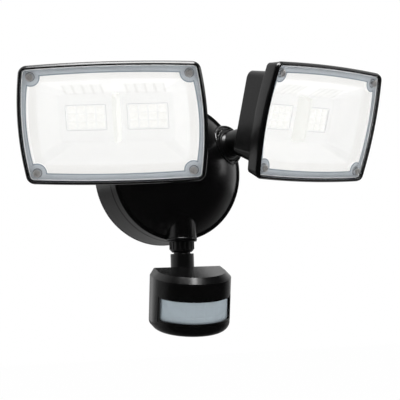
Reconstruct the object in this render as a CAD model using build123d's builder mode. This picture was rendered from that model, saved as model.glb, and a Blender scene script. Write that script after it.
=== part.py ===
from build123d import *
import os
from math import asin, cos, degrees, radians, sin, sqrt

# Twin-head LED floodlight with a motion sensor, for a wall. All lengths are in millimetres.
# +X is to the right of someone who faces the wall, -Y points out of the wall and +Z is up.
# The origin is the centre of the mounting strap's back, on the wall's surface.
# "Depth" of the base is measured out of the wall; depth of a head is measured back from its front rim.

os.makedirs("parts", exist_ok=True)

# Clearances
fit_gap = 0.05  # pin or screw in its hole, radial
run_gap = 0.3  # pieces that move past each other
seat_gap = 0.2  # pieces of one assembly laid in each other

# Base: gasket, back plate and domed housing
rim_radius = 60.5
rim_draft = 0.08  # radius lost for each millimetre of depth
gasket_depth = 2.5
gasket_width = 8.0
plate_depth = 12.2
plate_recess = 6.5  # room behind the plate for the heads of the box screws
plate_floor = 3.0
seam_depth = 27.2
seam_width = 1.0
seam_cut = 0.7
rim_depth = 38.0
rim_edge = 1.8
ledge_width = 3.4
ledge_step = 0.6  # the ledge lies this far back from the rim's front, and the dome this far inside it
dome_rise = 27.0
base_wall = 3.0

# Mounting strap, centre bolt and cable entry
strap_thickness = 2.0
strap_length = 100.0
strap_width = 22.0
strap_corner = 5.0
slot_spacing_large = 88.9
slot_spacing_small = 69.85
slot_length = 7.0
slot_radius = 2.3
bolt_radius = 2.5
bolt_head_radius = 4.5
bolt_head_height = 3.0
bolt_post_radius = 7.5
plug_radius = 7.0
plug_depth = 5.5
plug_crown = 1.0
grommet_height = 27.0
grommet_bore = 5.5
grommet_radius = 8.0
grommet_flange = 1.5
ground_screw_x = 18.0
ground_screw_radius = 2.0
ground_head_radius = 3.6
ground_head_height = 2.4

# Base screws and the driver board inside
post_ring_radius = 46.0
post_angles = (90.0, 205.0, 335.0)
post_radius = 4.2
base_screw_radius = 1.7
base_screw_length = 18.0
base_screw_head = 3.2
base_screw_head_height = 1.6
board_thickness = 1.6
board_lift = 4.0
driver_board_width = 62.0
driver_board_height = 42.0
driver_board_drop = 9.0
peg_radius = 2.4
peg_inset = 5.0
coil_x = -19.0
coil_z = -14.0
coil_radius = 9.0
coil_bore = 3.0
coil_height = 11.0
capacitor_x = 19.0
capacitor_z = (-9.0, -22.0)
capacitor_radius = 5.0
capacitor_height = 18.0
relay_z = -21.0
relay_length = 14.0
relay_width = 15.0
relay_height = 14.0
terminal_x = -19.0
terminal_z = 5.0
terminal_length = 20.0
terminal_width = 9.0
terminal_height = 8.0

# Ball joints of the two arms
ball_x = 41.8
ball_depth = 41.7
ball_z = 21.6
ball_radius = 11.5
boss_yaw = 20.0
boss_rise = 8.0
boss_radius = 17.0
boss_back = 20.0
boss_front = 3.4
collar_wall = 1.5
collar_front = 4.6
seat_back = 6.0
ring_radius = 14.4
ring_front = 6.4
ring_ribs = 24
ring_room = 0.8
ring_rib_radius = 0.6
stub_radius = 5.6
stub_tail = 3.0  # length of the stub behind its clip
ball_front_flat = 8.0
root_radius = 6.6
neck_radius = 10.8
neck_start = 10.3
arm_length = 50.0
arm_rise = 8.0
arm_bore = 3.2
clip_thickness = 1.2
clip_width = 2.2
clip_bite = 1.0  # depth of a clip's groove

# Lamp heads
head_yaw = {"left": -30.3, "right": 23.1}
head_roll = {"left": -1.1, "right": 0.8}
head_pitch = {"left": -18.8, "right": -16.8}
crown_x = 72.6
crown_z = 47.7
corner_x = 68.2
corner_z = 45.8
corner_radius = 9.0
bezel_depth = 14.0
bezel_back_wall = 2.0
bezel_wall = 2.6
bezel_taper = 3.1  # how far the sides come in from the front to the back of the bezel
rim_round = 0.8
lens_depth = 1.2
lens_thickness = 3.0
lens_seat = 1.3  # the lens stays this far inside the bezel's wall
gasket_rise = 2.0
border_width = 5.2
border_edge = 0.5
ear_radius = 7.4
lens_screw_x = 60.0
lens_screw_z = 37.1
lens_screw_radius = 1.6
lens_screw_head = 3.1
lens_screw_sink = 0.2
lens_screw_slope = 30.0
reflector_wall = 1.2
reflector_ledge = 6.6  # flat rim of the reflector that shows inside the grey border
reflector_taper = 12.6
reflector_floor = 28.0
reflector_inset = 3.2
window_width = 31.0
window_height = 22.0
window_x = 24.0
divider_height = 35.0
divider_width = 1.2
divider_rise = 2.5
led_board_width = 100.0
led_board_height = 44.0
led_board_thickness = 1.6
led_board_corner = 4.0
led_columns = 4
led_rows = 3
led_pitch_x = 7.4
led_pitch_z = 6.8
led_size = 5.6
led_height = 0.9
led_post_radius = 3.2
led_post_inset = 7.0
housing_half_x = 64.4
housing_half_z = 37.0
housing_corner = 9.5
housing_back = 38.0
housing_draft = 8.0
housing_bevel = 2.6
housing_wall = 2.6
flange_inset = 3.2
rear_screw_x = 50.0
rear_screw_z = 24.0
rear_screw_head = 2.9
rear_screw_radius = 1.5
screw_slope = 20.0

# Tilting knuckle behind each head
pivot_back = 14.7
pivot_drop = 17.0
knuckle_radius = 10.6
knuckle_shoulder = 2.0
bore_floor = 4.0  # solid left between the arm's bore and its knuckle
knuckle_half = 7.2
knuckle_ear = 5.4
knuckle_foot = 13.5
knuckle_pin = 3.0
knuckle_head_radius = 5.4
knuckle_head_height = 3.4
knuckle_nut_radius = 5.6
knuckle_nut_height = 3.6
knuckle_bolt_end = 1.0

# Sensor joint under the base
stem_depth = 40.0
sensor_boss_radius = 12.5
sensor_boss_bottom = 58.6
sensor_boss_top = 36.0
sensor_collar_radius = 8.7
sensor_collar_length = 5.0
spigot_radius = 7.0
spigot_top = 42.0
spigot_cavity = 47.0
spigot_bore = 3.2
spigot_clip_width = 1.6
sensor_ring_radius = 10.4
sensor_ring_length = 8.4
sensor_ring_lip = 2.6
sensor_ring_chamfer = 1.8
sensor_ring_ribs = 18
stem_radius = 9.8
stem_sides = 12
stem_top = 68.5
stem_shoulder = 80.5
stem_pivot = 90.5
stem_eye_radius = 8.0
stem_eye_half = 4.4
stem_ear = 4.4
stem_pin = 2.5
stem_pin_head = 4.4
stem_pin_head_height = 2.6

# Sensor head
sensor_yaw = -9.0
sensor_pitch = -13.2
sensor_back = 12.6
sensor_rise = 14.2
sensor_half = 32.5
sensor_bevel = 4.0
sensor_arc_depth = 13.0
sensor_height = 49.0
sensor_wall = 2.2
sensor_top_slope = 4.6  # width of the slope round the top's front and sides
sensor_bottom_round = 8.0
sensor_split = 8.0
sensor_post_radius = 3.0
sensor_post_length = 9.0
window_side_depth = 9.7
window_top = 18.2
window_bottom = 38.6
window_half = 30.3
frame_border = 1.3
frame_inset = 0.4
fresnel_thickness = 0.8
pir_board_half = 24.0
pir_board_top = 8.0
pir_board_bottom = 41.0
pir_board_depth = 18.0
rest_width = 13.0
rest_inset = 5.0
rest_thickness = 1.6
control_board_half = 16.5
control_board_length = 20.5
control_board_middle = 20.4
pir_can_radius = 4.6
pir_can_height = 5.0
dial_x = 12.0
dial_depth = 24.0
dial_radius = 5.0
dial_proud = 1.0
dial_slot_width = 1.2
dial_slot_depth = 0.9
switch_depth = 13.5
switch_slot_half = 6.5
switch_width = 4.0
switch_travel = 3.0
switch_proud = 1.4
sensor_screw_x = 20.0
sensor_screw_drops = (4.8, 44.0)
sensor_screw_radius = 1.4
sensor_screw_head = 2.7


def save(piece, name):
    """Labels a finished piece and writes it as a STEP file of its own."""
    piece.part.label = name
    export_step(piece.part, f"parts/{name}.step")


def facing(origin, yaw, pitch, roll=0):
    """A plane that faces out of the wall, turned right by yaw, up by pitch, then rolled."""
    across = (cos(radians(yaw)), sin(radians(yaw)), 0)
    out = (
        sin(radians(yaw)) * cos(radians(pitch)),
        -cos(radians(yaw)) * cos(radians(pitch)),
        sin(radians(pitch)),
    )
    level = Plane(origin=origin, x_dir=across, z_dir=out)
    rolled = level.x_dir * cos(radians(roll)) + level.y_dir * sin(radians(roll))
    return Plane(origin=origin, x_dir=rolled, z_dir=out)


def tilted(plane, origin, angle):
    """The given plane moved to an origin and nodded up by an angle about its x axis."""
    out = plane.z_dir * cos(radians(angle)) + plane.y_dir * sin(radians(angle))
    return Plane(origin=origin, x_dir=plane.x_dir, z_dir=out)


def side_of(plane, point):
    """The plane across a hinge pin: x is up, y is the way the given plane faces."""
    return Plane(origin=point, x_dir=plane.y_dir, z_dir=plane.x_dir)


def wall_plane(depth):
    """A plane parallel to the wall, depth millimetres out of it, that faces out."""
    return Plane(origin=(0, -depth, 0), x_dir=(1, 0, 0), z_dir=(0, -1, 0))


def rim_at(depth):
    """Outer radius of the base's side at a depth."""
    return rim_radius - rim_draft * depth


def barrel_outline(inset):
    """The head's outline drawn in by inset: four shallow arcs with rounded corners."""
    half_x = corner_x - inset
    half_z = corner_z - inset
    with BuildSketch() as outline:
        with BuildLine():
            ThreePointArc((-half_x, half_z), (0, crown_z - inset), (half_x, half_z))
            ThreePointArc((half_x, half_z), (crown_x - inset, 0), (half_x, -half_z))
            ThreePointArc((half_x, -half_z), (0, inset - crown_z), (-half_x, -half_z))
            ThreePointArc((-half_x, -half_z), (inset - crown_x, 0), (-half_x, half_z))
        make_face()
        fillet(outline.vertices(), max(corner_radius - inset, 3.0))
    return outline.sketch


def barrel_block(plane, near, far, near_inset, far_inset):
    """A solid between two depths whose outline is drawn in further at one than at the other."""
    with BuildPart() as block:
        with BuildSketch(plane.offset(-near)):
            add(barrel_outline(near_inset))
        with BuildSketch(plane.offset(-far)):
            add(barrel_outline(far_inset))
        loft()
    return block.part


def sensor_outline(inset):
    """The sensor's plan drawn in by inset: straight sides and a half-round front."""
    half = sensor_half - inset
    with BuildSketch() as outline:
        with BuildLine():
            sides = Polyline(
                (-half, sensor_arc_depth),
                (-half, inset),
                (half, inset),
                (half, sensor_arc_depth),
            )
            ThreePointArc(sides @ 1, (0, sensor_arc_depth + half), sides @ 0)
        make_face()
    return outline.sketch


# ---------------------------------------------------------------- base
dome_edge = rim_at(rim_depth) - ledge_width
dome_radius = (dome_edge**2 + dome_rise**2) / (2 * dome_rise)
dome_centre = rim_depth + dome_rise - dome_radius
dome_angle = degrees(asin(dome_edge / dome_radius))
inner_edge = dome_edge - base_wall
inner_angle = degrees(asin(inner_edge / (dome_radius - base_wall)))
inner_depth = dome_centre + (dome_radius - base_wall) * cos(radians(inner_angle))
dome_top = rim_depth + dome_rise

with BuildPart() as wall_gasket:
    with BuildSketch(wall_plane(0)):
        Circle(rim_radius)
        Circle(rim_radius - gasket_width, mode=Mode.SUBTRACT)
    extrude(amount=gasket_depth)
save(wall_gasket, "wall_gasket")

floor_top = plate_recess + plate_floor
with BuildPart() as back_plate:
    with BuildSketch(Plane.XY):
        Polygon(
            (0, -plate_recess),
            (rim_at(gasket_depth) - gasket_width, -plate_recess),
            (rim_at(gasket_depth) - gasket_width, -gasket_depth),
            (rim_at(gasket_depth), -gasket_depth),
            (rim_at(plate_depth), -plate_depth),
            (rim_at(plate_depth) - base_wall, -plate_depth),
            (rim_at(plate_depth) - base_wall, -floor_top),
            (0, -floor_top),
            align=None,
        )
    revolve(axis=Axis.Y)
    with BuildSketch(wall_plane(plate_recess)):
        Circle(bolt_radius + run_gap)
        with Locations((0, grommet_height)):
            Circle(grommet_radius)
        for angle in post_angles:
            with PolarLocations(post_ring_radius, 1, start_angle=angle):
                Circle(base_screw_radius + fit_gap)
    extrude(amount=plate_floor, mode=Mode.SUBTRACT)
    with BuildSketch(wall_plane(floor_top)):
        with Locations((0, -driver_board_drop)):
            with GridLocations(
                driver_board_width - 2 * peg_inset, driver_board_height - 2 * peg_inset, 2, 2
            ):
                Circle(peg_radius)
    extrude(amount=board_lift)
save(back_plate, "back_plate")

with BuildPart() as mounting_strap:
    with BuildSketch(wall_plane(0)):
        RectangleRounded(strap_length, strap_width, strap_corner)
        Circle(bolt_radius, mode=Mode.SUBTRACT)
        for spacing in (slot_spacing_large, slot_spacing_small):
            with GridLocations(spacing, 1, 2, 1):
                SlotOverall(slot_length, 2 * slot_radius, mode=Mode.SUBTRACT)
        with Locations((ground_screw_x, 0)):
            Circle(ground_screw_radius + fit_gap, mode=Mode.SUBTRACT)
    extrude(amount=strap_thickness)
save(mounting_strap, "mounting_strap")

with BuildPart() as ground_screw:
    with BuildSketch(wall_plane(0)):
        with Locations((ground_screw_x, 0)):
            Circle(ground_screw_radius)
    extrude(amount=strap_thickness)
    with BuildSketch(wall_plane(strap_thickness)):
        with Locations((ground_screw_x, 0)):
            Circle(ground_head_radius)
    extrude(amount=ground_head_height)
save(ground_screw, "ground_screw")

with BuildPart() as wire_grommet:
    with BuildSketch(wall_plane(plate_recess)):
        with Locations((0, grommet_height)):
            Circle(grommet_radius)
            Circle(grommet_bore, mode=Mode.SUBTRACT)
    extrude(amount=plate_floor)
    with BuildSketch(wall_plane(floor_top)):
        with Locations((0, grommet_height)):
            Circle(grommet_radius + grommet_flange)
            Circle(grommet_bore, mode=Mode.SUBTRACT)
    extrude(amount=grommet_flange)
save(wire_grommet, "wire_grommet")

ball_centre = {
    "left": Vector(-ball_x, -ball_depth, ball_z),
    "right": Vector(ball_x, -ball_depth, ball_z),
}
boss_plane = {
    "left": facing(ball_centre["left"], -boss_yaw, boss_rise),
    "right": facing(ball_centre["right"], boss_yaw, boss_rise),
}
socket_radius = ball_radius + fit_gap
collar_radius = socket_radius + collar_wall
bolt_seat = dome_top - plug_depth - bolt_head_height

with BuildPart() as base_housing:
    with BuildSketch(Plane.XY):
        with BuildLine():
            dome = CenterArc((0, -dome_centre), dome_radius, -90, dome_angle)
            Polyline(
                dome @ 1,
                (dome_edge + ledge_step, ledge_step - rim_depth),
                (dome_edge + ledge_width - rim_edge, ledge_step - rim_depth),
                (rim_at(rim_depth - rim_edge), rim_edge - rim_depth),
                (rim_at(seam_depth + seam_width), -seam_depth - seam_width),
                (rim_at(seam_depth) - seam_cut, -seam_depth - seam_width / 2),
                (rim_at(seam_depth), -seam_depth),
                (rim_at(plate_depth), -plate_depth),
                (rim_at(plate_depth) - base_wall, -plate_depth),
                (rim_at(rim_depth) - base_wall, -inner_depth),
                (inner_edge, -inner_depth),
            )
            inner = CenterArc((0, -dome_centre), dome_radius - base_wall, -90, inner_angle)
            Line(inner @ 0, dome @ 0)
        make_face()
    revolve(axis=Axis.Y)
    for side in ("left", "right"):
        with BuildSketch(boss_plane[side].offset(-boss_back)):
            Circle(boss_radius)
        extrude(amount=boss_back + boss_front)
        with BuildSketch(boss_plane[side]):
            Circle(collar_radius)
        extrude(amount=collar_front)
    with BuildSketch(Plane.XY.offset(-sensor_boss_bottom)):
        with Locations((0, -stem_depth)):
            Circle(sensor_boss_radius)
    extrude(amount=sensor_boss_bottom - sensor_boss_top)
    with BuildSketch(Plane.XY.offset(-sensor_boss_bottom - sensor_collar_length)):
        with Locations((0, -stem_depth)):
            Circle(sensor_collar_radius)
    extrude(amount=sensor_collar_length)
    with BuildSketch(wall_plane(floor_top)):
        for angle in post_angles:
            with PolarLocations(post_ring_radius, 1, start_angle=angle):
                Circle(post_radius)
    extrude(amount=sqrt((dome_radius - base_wall) ** 2 - post_ring_radius**2) + dome_centre - floor_top + 1)
    with BuildSketch(wall_plane(floor_top)):
        Circle(bolt_post_radius)
    extrude(amount=dome_top - base_wall - floor_top)
    # Cavities: room for the lock rings, ball seats, sensor bore, bolt, plug and screw holes
    for side in ("left", "right"):
        with BuildSketch(boss_plane[side].offset(boss_front)):
            Circle(ring_radius + ring_room)
            Circle(collar_radius, mode=Mode.SUBTRACT)
        extrude(amount=collar_front - boss_front, mode=Mode.SUBTRACT)
        with BuildSketch(boss_plane[side].offset(collar_front)):
            Circle(ring_radius + ring_room)
        extrude(amount=boss_back, mode=Mode.SUBTRACT)
        with Locations(Location(ball_centre[side])):
            Sphere(socket_radius, mode=Mode.SUBTRACT)
        with BuildSketch(boss_plane[side].offset(-boss_back - 1)):
            Circle(boss_radius - base_wall)
        extrude(amount=boss_back + 1 - seat_back, mode=Mode.SUBTRACT)
    with BuildSketch(Plane.XY.offset(-sensor_boss_bottom - sensor_collar_length)):
        with Locations((0, -stem_depth)):
            Circle(spigot_radius + fit_gap)
    extrude(amount=sensor_boss_bottom + sensor_collar_length - spigot_cavity, mode=Mode.SUBTRACT)
    with BuildSketch(Plane.XY.offset(-spigot_cavity)):
        with Locations((0, -stem_depth)):
            Circle(sensor_boss_radius - base_wall)
    extrude(amount=spigot_cavity - sensor_boss_top + 6, mode=Mode.SUBTRACT)
    with BuildSketch(wall_plane(floor_top)):
        Circle(bolt_radius + run_gap)
    extrude(amount=dome_top, mode=Mode.SUBTRACT)
    with BuildSketch(wall_plane(bolt_seat)):
        Circle(bolt_head_radius + run_gap)
    extrude(amount=bolt_head_height + 1, mode=Mode.SUBTRACT)
    with BuildSketch(wall_plane(dome_top - plug_depth)):
        Circle(plug_radius)
    extrude(amount=plug_depth + 1, mode=Mode.SUBTRACT)
    with BuildSketch(wall_plane(floor_top)):
        for angle in post_angles:
            with PolarLocations(post_ring_radius, 1, start_angle=angle):
                Circle(base_screw_radius)
    extrude(amount=base_screw_length, mode=Mode.SUBTRACT)
save(base_housing, "base_housing")

with BuildPart() as mounting_bolt:
    with BuildSketch(wall_plane(0)):
        Circle(bolt_radius)
    extrude(amount=bolt_seat)
    with BuildSketch(wall_plane(bolt_seat)):
        Circle(bolt_head_radius)
        RegularPolygon(bolt_radius, 6, mode=Mode.SUBTRACT)
    extrude(amount=bolt_head_height)
    with BuildSketch(wall_plane(bolt_seat)):
        Circle(bolt_head_radius)
    extrude(amount=bolt_head_height / 3)
save(mounting_bolt, "mounting_bolt")

plug_seat = bolt_seat + bolt_head_height
with BuildPart() as bolt_plug:
    with BuildSketch(wall_plane(plug_seat)):
        Circle(plug_radius)
    extrude(amount=dome_top + plug_crown - plug_seat)
    fillet(bolt_plug.faces().sort_by(Axis.Y)[0].edges(), plug_crown)
save(bolt_plug, "bolt_plug")

with BuildPart() as base_screws:
    with BuildSketch(wall_plane(plate_recess)):
        for angle in post_angles:
            with PolarLocations(post_ring_radius, 1, start_angle=angle):
                Circle(base_screw_radius)
    extrude(amount=plate_floor + base_screw_length - 1)
    with BuildSketch(wall_plane(plate_recess - base_screw_head_height)):
        for angle in post_angles:
            with PolarLocations(post_ring_radius, 1, start_angle=angle):
                Circle(base_screw_head)
    extrude(amount=base_screw_head_height)
save(base_screws, "base_screws")

board_back = floor_top + board_lift
board_face = board_back + board_thickness
with BuildPart() as driver_board:
    with BuildSketch(wall_plane(board_back)):
        with Locations((0, -driver_board_drop)):
            Rectangle(driver_board_width, driver_board_height)
        Circle(bolt_post_radius + 1, mode=Mode.SUBTRACT)
    extrude(amount=board_thickness)
save(driver_board, "driver_board")

with BuildPart() as driver_coil:
    with BuildSketch(wall_plane(board_face)):
        with Locations((coil_x, coil_z)):
            Circle(coil_radius)
            Circle(coil_bore, mode=Mode.SUBTRACT)
    extrude(amount=coil_height)
save(driver_coil, "driver_coil")

with BuildPart() as filter_capacitors:
    with BuildSketch(wall_plane(board_face)):
        with Locations(*[(capacitor_x, z) for z in capacitor_z]):
            Circle(capacitor_radius)
    extrude(amount=capacitor_height)
save(filter_capacitors, "filter_capacitors")

with BuildPart() as switching_relay:
    with BuildSketch(wall_plane(board_face)):
        with Locations((0, relay_z)):
            Rectangle(relay_width, relay_length)
    extrude(amount=relay_height)
save(switching_relay, "switching_relay")

with BuildPart() as terminal_block:
    with BuildSketch(wall_plane(board_face)):
        with Locations((terminal_x, terminal_z)):
            Rectangle(terminal_length, terminal_width)
    extrude(amount=terminal_height)
save(terminal_block, "terminal_block")


# ---------------------------------------------------------------- lamp heads and arms
def build_arm(side):
    """Makes one side's lock ring, ball, arm and clip, and returns the head's plane at its pin."""
    boss = boss_plane[side]
    centre = ball_centre[side]
    arm_plane = facing(centre, head_yaw[side], arm_rise, head_roll[side])
    pivot = centre + arm_plane.z_dir * arm_length
    clip_place = -ball_radius - run_gap - clip_thickness
    stub_back = stub_tail - clip_place
    clip_radius = stub_radius + clip_width

    with BuildPart() as lock_ring:
        with BuildSketch(boss.offset(boss_front + run_gap)):
            Circle(ring_radius - ring_rib_radius)
        extrude(amount=ring_front - boss_front - run_gap)
        chamfer(lock_ring.faces().sort_by(Axis(centre, boss.z_dir))[-1].edges(), ring_rib_radius)
        with BuildSketch(boss.offset(boss_front + run_gap)):
            with PolarLocations(ring_radius - ring_rib_radius, ring_ribs):
                Circle(ring_rib_radius)
        extrude(amount=ring_front - boss_front - run_gap - 2 * ring_rib_radius)
        with BuildSketch(boss):
            Circle(collar_radius + fit_gap)
        extrude(amount=collar_front + run_gap, mode=Mode.SUBTRACT)
        with Locations(Location(centre)):
            Sphere(socket_radius, mode=Mode.SUBTRACT)
    save(lock_ring, f"{side}_lock_ring")

    with BuildPart() as pivot_ball:
        with Locations(Location(centre)):
            Sphere(ball_radius)
        with BuildSketch(arm_plane.offset(ball_front_flat)):
            Circle(ball_radius)
        extrude(amount=ball_radius, mode=Mode.SUBTRACT)
        with BuildSketch(arm_plane.offset(-ball_radius)):
            Circle(stub_radius + fit_gap)
        extrude(amount=2 * ball_radius, mode=Mode.SUBTRACT)
    save(pivot_ball, f"{side}_pivot_ball")

    with BuildPart() as arm:
        with BuildSketch(arm_plane.offset(-stub_back)):
            Circle(stub_radius)
        extrude(amount=stub_back + neck_start)
        with BuildSketch(arm_plane.offset(ball_front_flat + run_gap)):
            Circle(root_radius)
        extrude(amount=neck_start - ball_front_flat - run_gap)
        with BuildSketch(arm_plane.offset(neck_start)):
            Circle(neck_radius)
        extrude(amount=arm_length - neck_start - knuckle_radius - knuckle_shoulder)
        with BuildSketch(side_of(arm_plane, pivot)):
            Circle(knuckle_radius)
            with Locations((0, -knuckle_radius / 2 - knuckle_shoulder)):
                Rectangle(2 * knuckle_radius, knuckle_radius + 2 * knuckle_shoulder)
            Circle(knuckle_pin + fit_gap, mode=Mode.SUBTRACT)
        extrude(amount=knuckle_half, both=True)
        with BuildSketch(arm_plane.offset(-stub_back)):
            Circle(arm_bore)
        extrude(amount=stub_back + arm_length - knuckle_radius - bore_floor, mode=Mode.SUBTRACT)
        with BuildSketch(arm_plane.offset(clip_place)):
            Circle(clip_radius)
            Circle(stub_radius - clip_bite, mode=Mode.SUBTRACT)
        extrude(amount=clip_thickness, mode=Mode.SUBTRACT)
    save(arm, f"{side}_arm")

    with BuildPart() as arm_clip:
        with BuildSketch(arm_plane.offset(clip_place)):
            Circle(clip_radius)
            Circle(stub_radius - clip_bite, mode=Mode.SUBTRACT)
            with Locations((clip_radius / 2, 0)):
                Rectangle(clip_radius, 2 * (stub_radius - 2 * clip_bite), mode=Mode.SUBTRACT)
        extrude(amount=clip_thickness)
    save(arm_clip, f"{side}_arm_clip")
    return tilted(arm_plane, pivot, head_pitch[side] - arm_rise)


def build_head(side, tilt):
    """Makes every piece of one lamp head from the plane at its tilt pin, which faces its way."""
    pivot = tilt.origin
    front_centre = pivot + tilt.z_dir * (housing_back + pivot_back) + tilt.y_dir * pivot_drop
    face = Plane(origin=front_centre, x_dir=tilt.x_dir, z_dir=tilt.z_dir)
    rim_back = lens_depth + lens_thickness + gasket_rise
    flange_face = rim_back + reflector_wall
    mouth = bezel_wall + border_width + reflector_ledge
    floor_inset = mouth + reflector_taper
    flange_back = bezel_depth - bezel_back_wall
    backwards = Axis(face.origin, -face.z_dir)

    with BuildPart() as bezel:
        add(barrel_block(face, 0, bezel_depth, 0, bezel_taper))
        fillet(bezel.faces().sort_by(backwards)[0].edges(), rim_round)
        add(
            barrel_block(face, 0, flange_back, bezel_wall, bezel_wall + bezel_taper - 0.5),
            mode=Mode.SUBTRACT,
        )
        with BuildSketch(face.offset(-flange_back)):
            RectangleRounded(
                2 * (housing_half_x + seat_gap), 2 * (housing_half_z + seat_gap), housing_corner
            )
        extrude(amount=-bezel_back_wall, mode=Mode.SUBTRACT)
    save(bezel, f"{side}_bezel")

    with BuildPart() as lens:
        with BuildSketch(face.offset(-lens_depth)):
            add(barrel_outline(bezel_wall + lens_seat))
            with GridLocations(2 * lens_screw_x, 2 * lens_screw_z, 2, 2):
                Circle(lens_screw_radius + fit_gap, mode=Mode.SUBTRACT)
        extrude(amount=-lens_thickness)
    save(lens, f"{side}_lens")

    with BuildPart() as lens_gasket:
        with BuildSketch(face.offset(-lens_depth - lens_thickness)):
            add(barrel_outline(bezel_wall + lens_seat + border_edge))
            add(barrel_outline(bezel_wall + border_width + border_edge), mode=Mode.SUBTRACT)
            with BuildSketch(mode=Mode.PRIVATE) as corner_ears:
                with GridLocations(2 * lens_screw_x, 2 * lens_screw_z, 2, 2):
                    Circle(ear_radius)
                add(barrel_outline(bezel_wall + lens_seat + border_edge), mode=Mode.INTERSECT)
            add(corner_ears.sketch)
            with GridLocations(2 * lens_screw_x, 2 * lens_screw_z, 2, 2):
                Circle(lens_screw_radius + fit_gap, mode=Mode.SUBTRACT)
        extrude(amount=-gasket_rise)
    save(lens_gasket, f"{side}_lens_gasket")

    with BuildPart() as reflector:
        with BuildSketch(face.offset(-rim_back)):
            add(barrel_outline(bezel_wall + reflector_inset))
            with GridLocations(2 * lens_screw_x, 2 * lens_screw_z, 2, 2):
                Circle(lens_screw_radius + fit_gap, mode=Mode.SUBTRACT)
        extrude(amount=-reflector_wall)
        add(barrel_block(face, rim_back, reflector_floor, mouth - reflector_wall, floor_inset))
        add(
            barrel_block(
                face,
                rim_back - 0.1,
                reflector_floor - reflector_wall,
                mouth,
                floor_inset + reflector_wall,
            ),
            mode=Mode.SUBTRACT,
        )
        with BuildSketch(face.offset(reflector_wall - reflector_floor)):
            Rectangle(divider_width, divider_height)
        extrude(amount=divider_rise)
        with BuildSketch(face.offset(reflector_wall - reflector_floor)):
            with GridLocations(2 * window_x, 1, 2, 1):
                Rectangle(window_width, window_height)
        extrude(amount=-reflector_wall, mode=Mode.SUBTRACT)
    save(reflector, f"{side}_reflector")

    board_front = reflector_floor + seat_gap
    with BuildPart() as led_board:
        with BuildSketch(face.offset(-board_front)):
            RectangleRounded(led_board_width, led_board_height, led_board_corner)
        extrude(amount=-led_board_thickness)
    save(led_board, f"{side}_led_board")

    with BuildPart() as led_array:
        with BuildSketch(face.offset(-board_front)):
            with GridLocations(2 * window_x, 1, 2, 1):
                with GridLocations(led_pitch_x, led_pitch_z, led_columns, led_rows):
                    Rectangle(led_size, led_size)
        extrude(amount=led_height)
    save(led_array, f"{side}_led_array")

    with BuildPart() as head_housing:
        with BuildSketch(face.offset(-flange_back)):
            RectangleRounded(2 * housing_half_x, 2 * housing_half_z, housing_corner)
        extrude(amount=flange_back - housing_back, taper=housing_draft)
        chamfer(head_housing.faces().sort_by(backwards)[-1].edges(), housing_bevel)
        with BuildSketch(face.offset(-flange_face)):
            add(barrel_outline(bezel_wall + flange_inset))
        extrude(amount=flange_face - flange_back)
        with BuildSketch(face.offset(-flange_face)):
            RectangleRounded(
                2 * (housing_half_x - housing_wall),
                2 * (housing_half_z - housing_wall),
                housing_corner - housing_wall,
            )
        extrude(
            amount=flange_face + housing_wall - housing_back,
            taper=housing_draft,
            mode=Mode.SUBTRACT,
        )
        add(
            barrel_block(
                face,
                rim_back,
                reflector_floor,
                mouth - reflector_wall - run_gap,
                floor_inset - run_gap,
            ),
            mode=Mode.SUBTRACT,
        )
        with BuildSketch(face.offset(-board_front - led_board_thickness)):
            with GridLocations(
                led_board_width - 2 * led_post_inset, led_board_height - 2 * led_post_inset, 2, 2
            ):
                Circle(led_post_radius)
        extrude(amount=board_front + led_board_thickness + housing_wall / 2 - housing_back)
        with BuildSketch(face.offset(-flange_face)):
            with GridLocations(2 * lens_screw_x, 2 * lens_screw_z, 2, 2):
                Circle(ear_radius / 2)
            add(barrel_outline(bezel_wall + flange_inset), mode=Mode.INTERSECT)
        extrude(amount=flange_face - flange_back)
        with BuildSketch(face.offset(-flange_face)):
            with GridLocations(2 * lens_screw_x, 2 * lens_screw_z, 2, 2):
                Circle(lens_screw_radius)
        extrude(amount=flange_face - flange_back, mode=Mode.SUBTRACT)
        for sign in (-1, 1):
            ear_plane = side_of(face, pivot).offset(sign * (knuckle_half + run_gap))
            with BuildSketch(ear_plane):
                Polygon(
                    (-knuckle_radius, 0),
                    (-knuckle_foot, pivot_back + 1),
                    (knuckle_foot, pivot_back + 1),
                    (knuckle_radius, 0),
                    align=None,
                )
                Circle(knuckle_radius)
                Circle(knuckle_pin, mode=Mode.SUBTRACT)
            extrude(amount=sign * knuckle_ear)
    save(head_housing, f"{side}_head_housing")

    with BuildPart() as lens_screws:
        with BuildSketch(face.offset(-lens_depth)):
            with GridLocations(2 * lens_screw_x, 2 * lens_screw_z, 2, 2):
                Circle(lens_screw_radius)
        extrude(amount=lens_depth - flange_back)
        with BuildSketch(face.offset(-lens_depth)):
            with GridLocations(2 * lens_screw_x, 2 * lens_screw_z, 2, 2):
                Circle(lens_screw_head)
        extrude(amount=lens_depth - lens_screw_sink, taper=lens_screw_slope)
    save(lens_screws, f"{side}_lens_screws")

    with BuildPart() as rear_screws:
        with BuildSketch(face.offset(-housing_back)):
            with GridLocations(2 * rear_screw_x, 2 * rear_screw_z, 2, 2):
                Circle(rear_screw_head)
        extrude(amount=-rear_screw_radius, taper=screw_slope)
    save(rear_screws, f"{side}_rear_screws")

    outer = knuckle_half + run_gap + knuckle_ear
    pin_plane = side_of(face, pivot)
    with BuildPart() as knuckle_bolt:
        with BuildSketch(pin_plane.offset(-outer)):
            Circle(knuckle_pin)
        extrude(amount=2 * outer + knuckle_nut_height + knuckle_bolt_end)
        with BuildSketch(pin_plane.offset(-outer)):
            RegularPolygon(knuckle_head_radius, 6)
        extrude(amount=-knuckle_head_height)
    save(knuckle_bolt, f"{side}_knuckle_bolt")

    with BuildPart() as knuckle_nut:
        with BuildSketch(pin_plane.offset(outer)):
            RegularPolygon(knuckle_nut_radius, 6)
            Circle(knuckle_pin, mode=Mode.SUBTRACT)
        extrude(amount=knuckle_nut_height)
    save(knuckle_nut, f"{side}_knuckle_nut")


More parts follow.
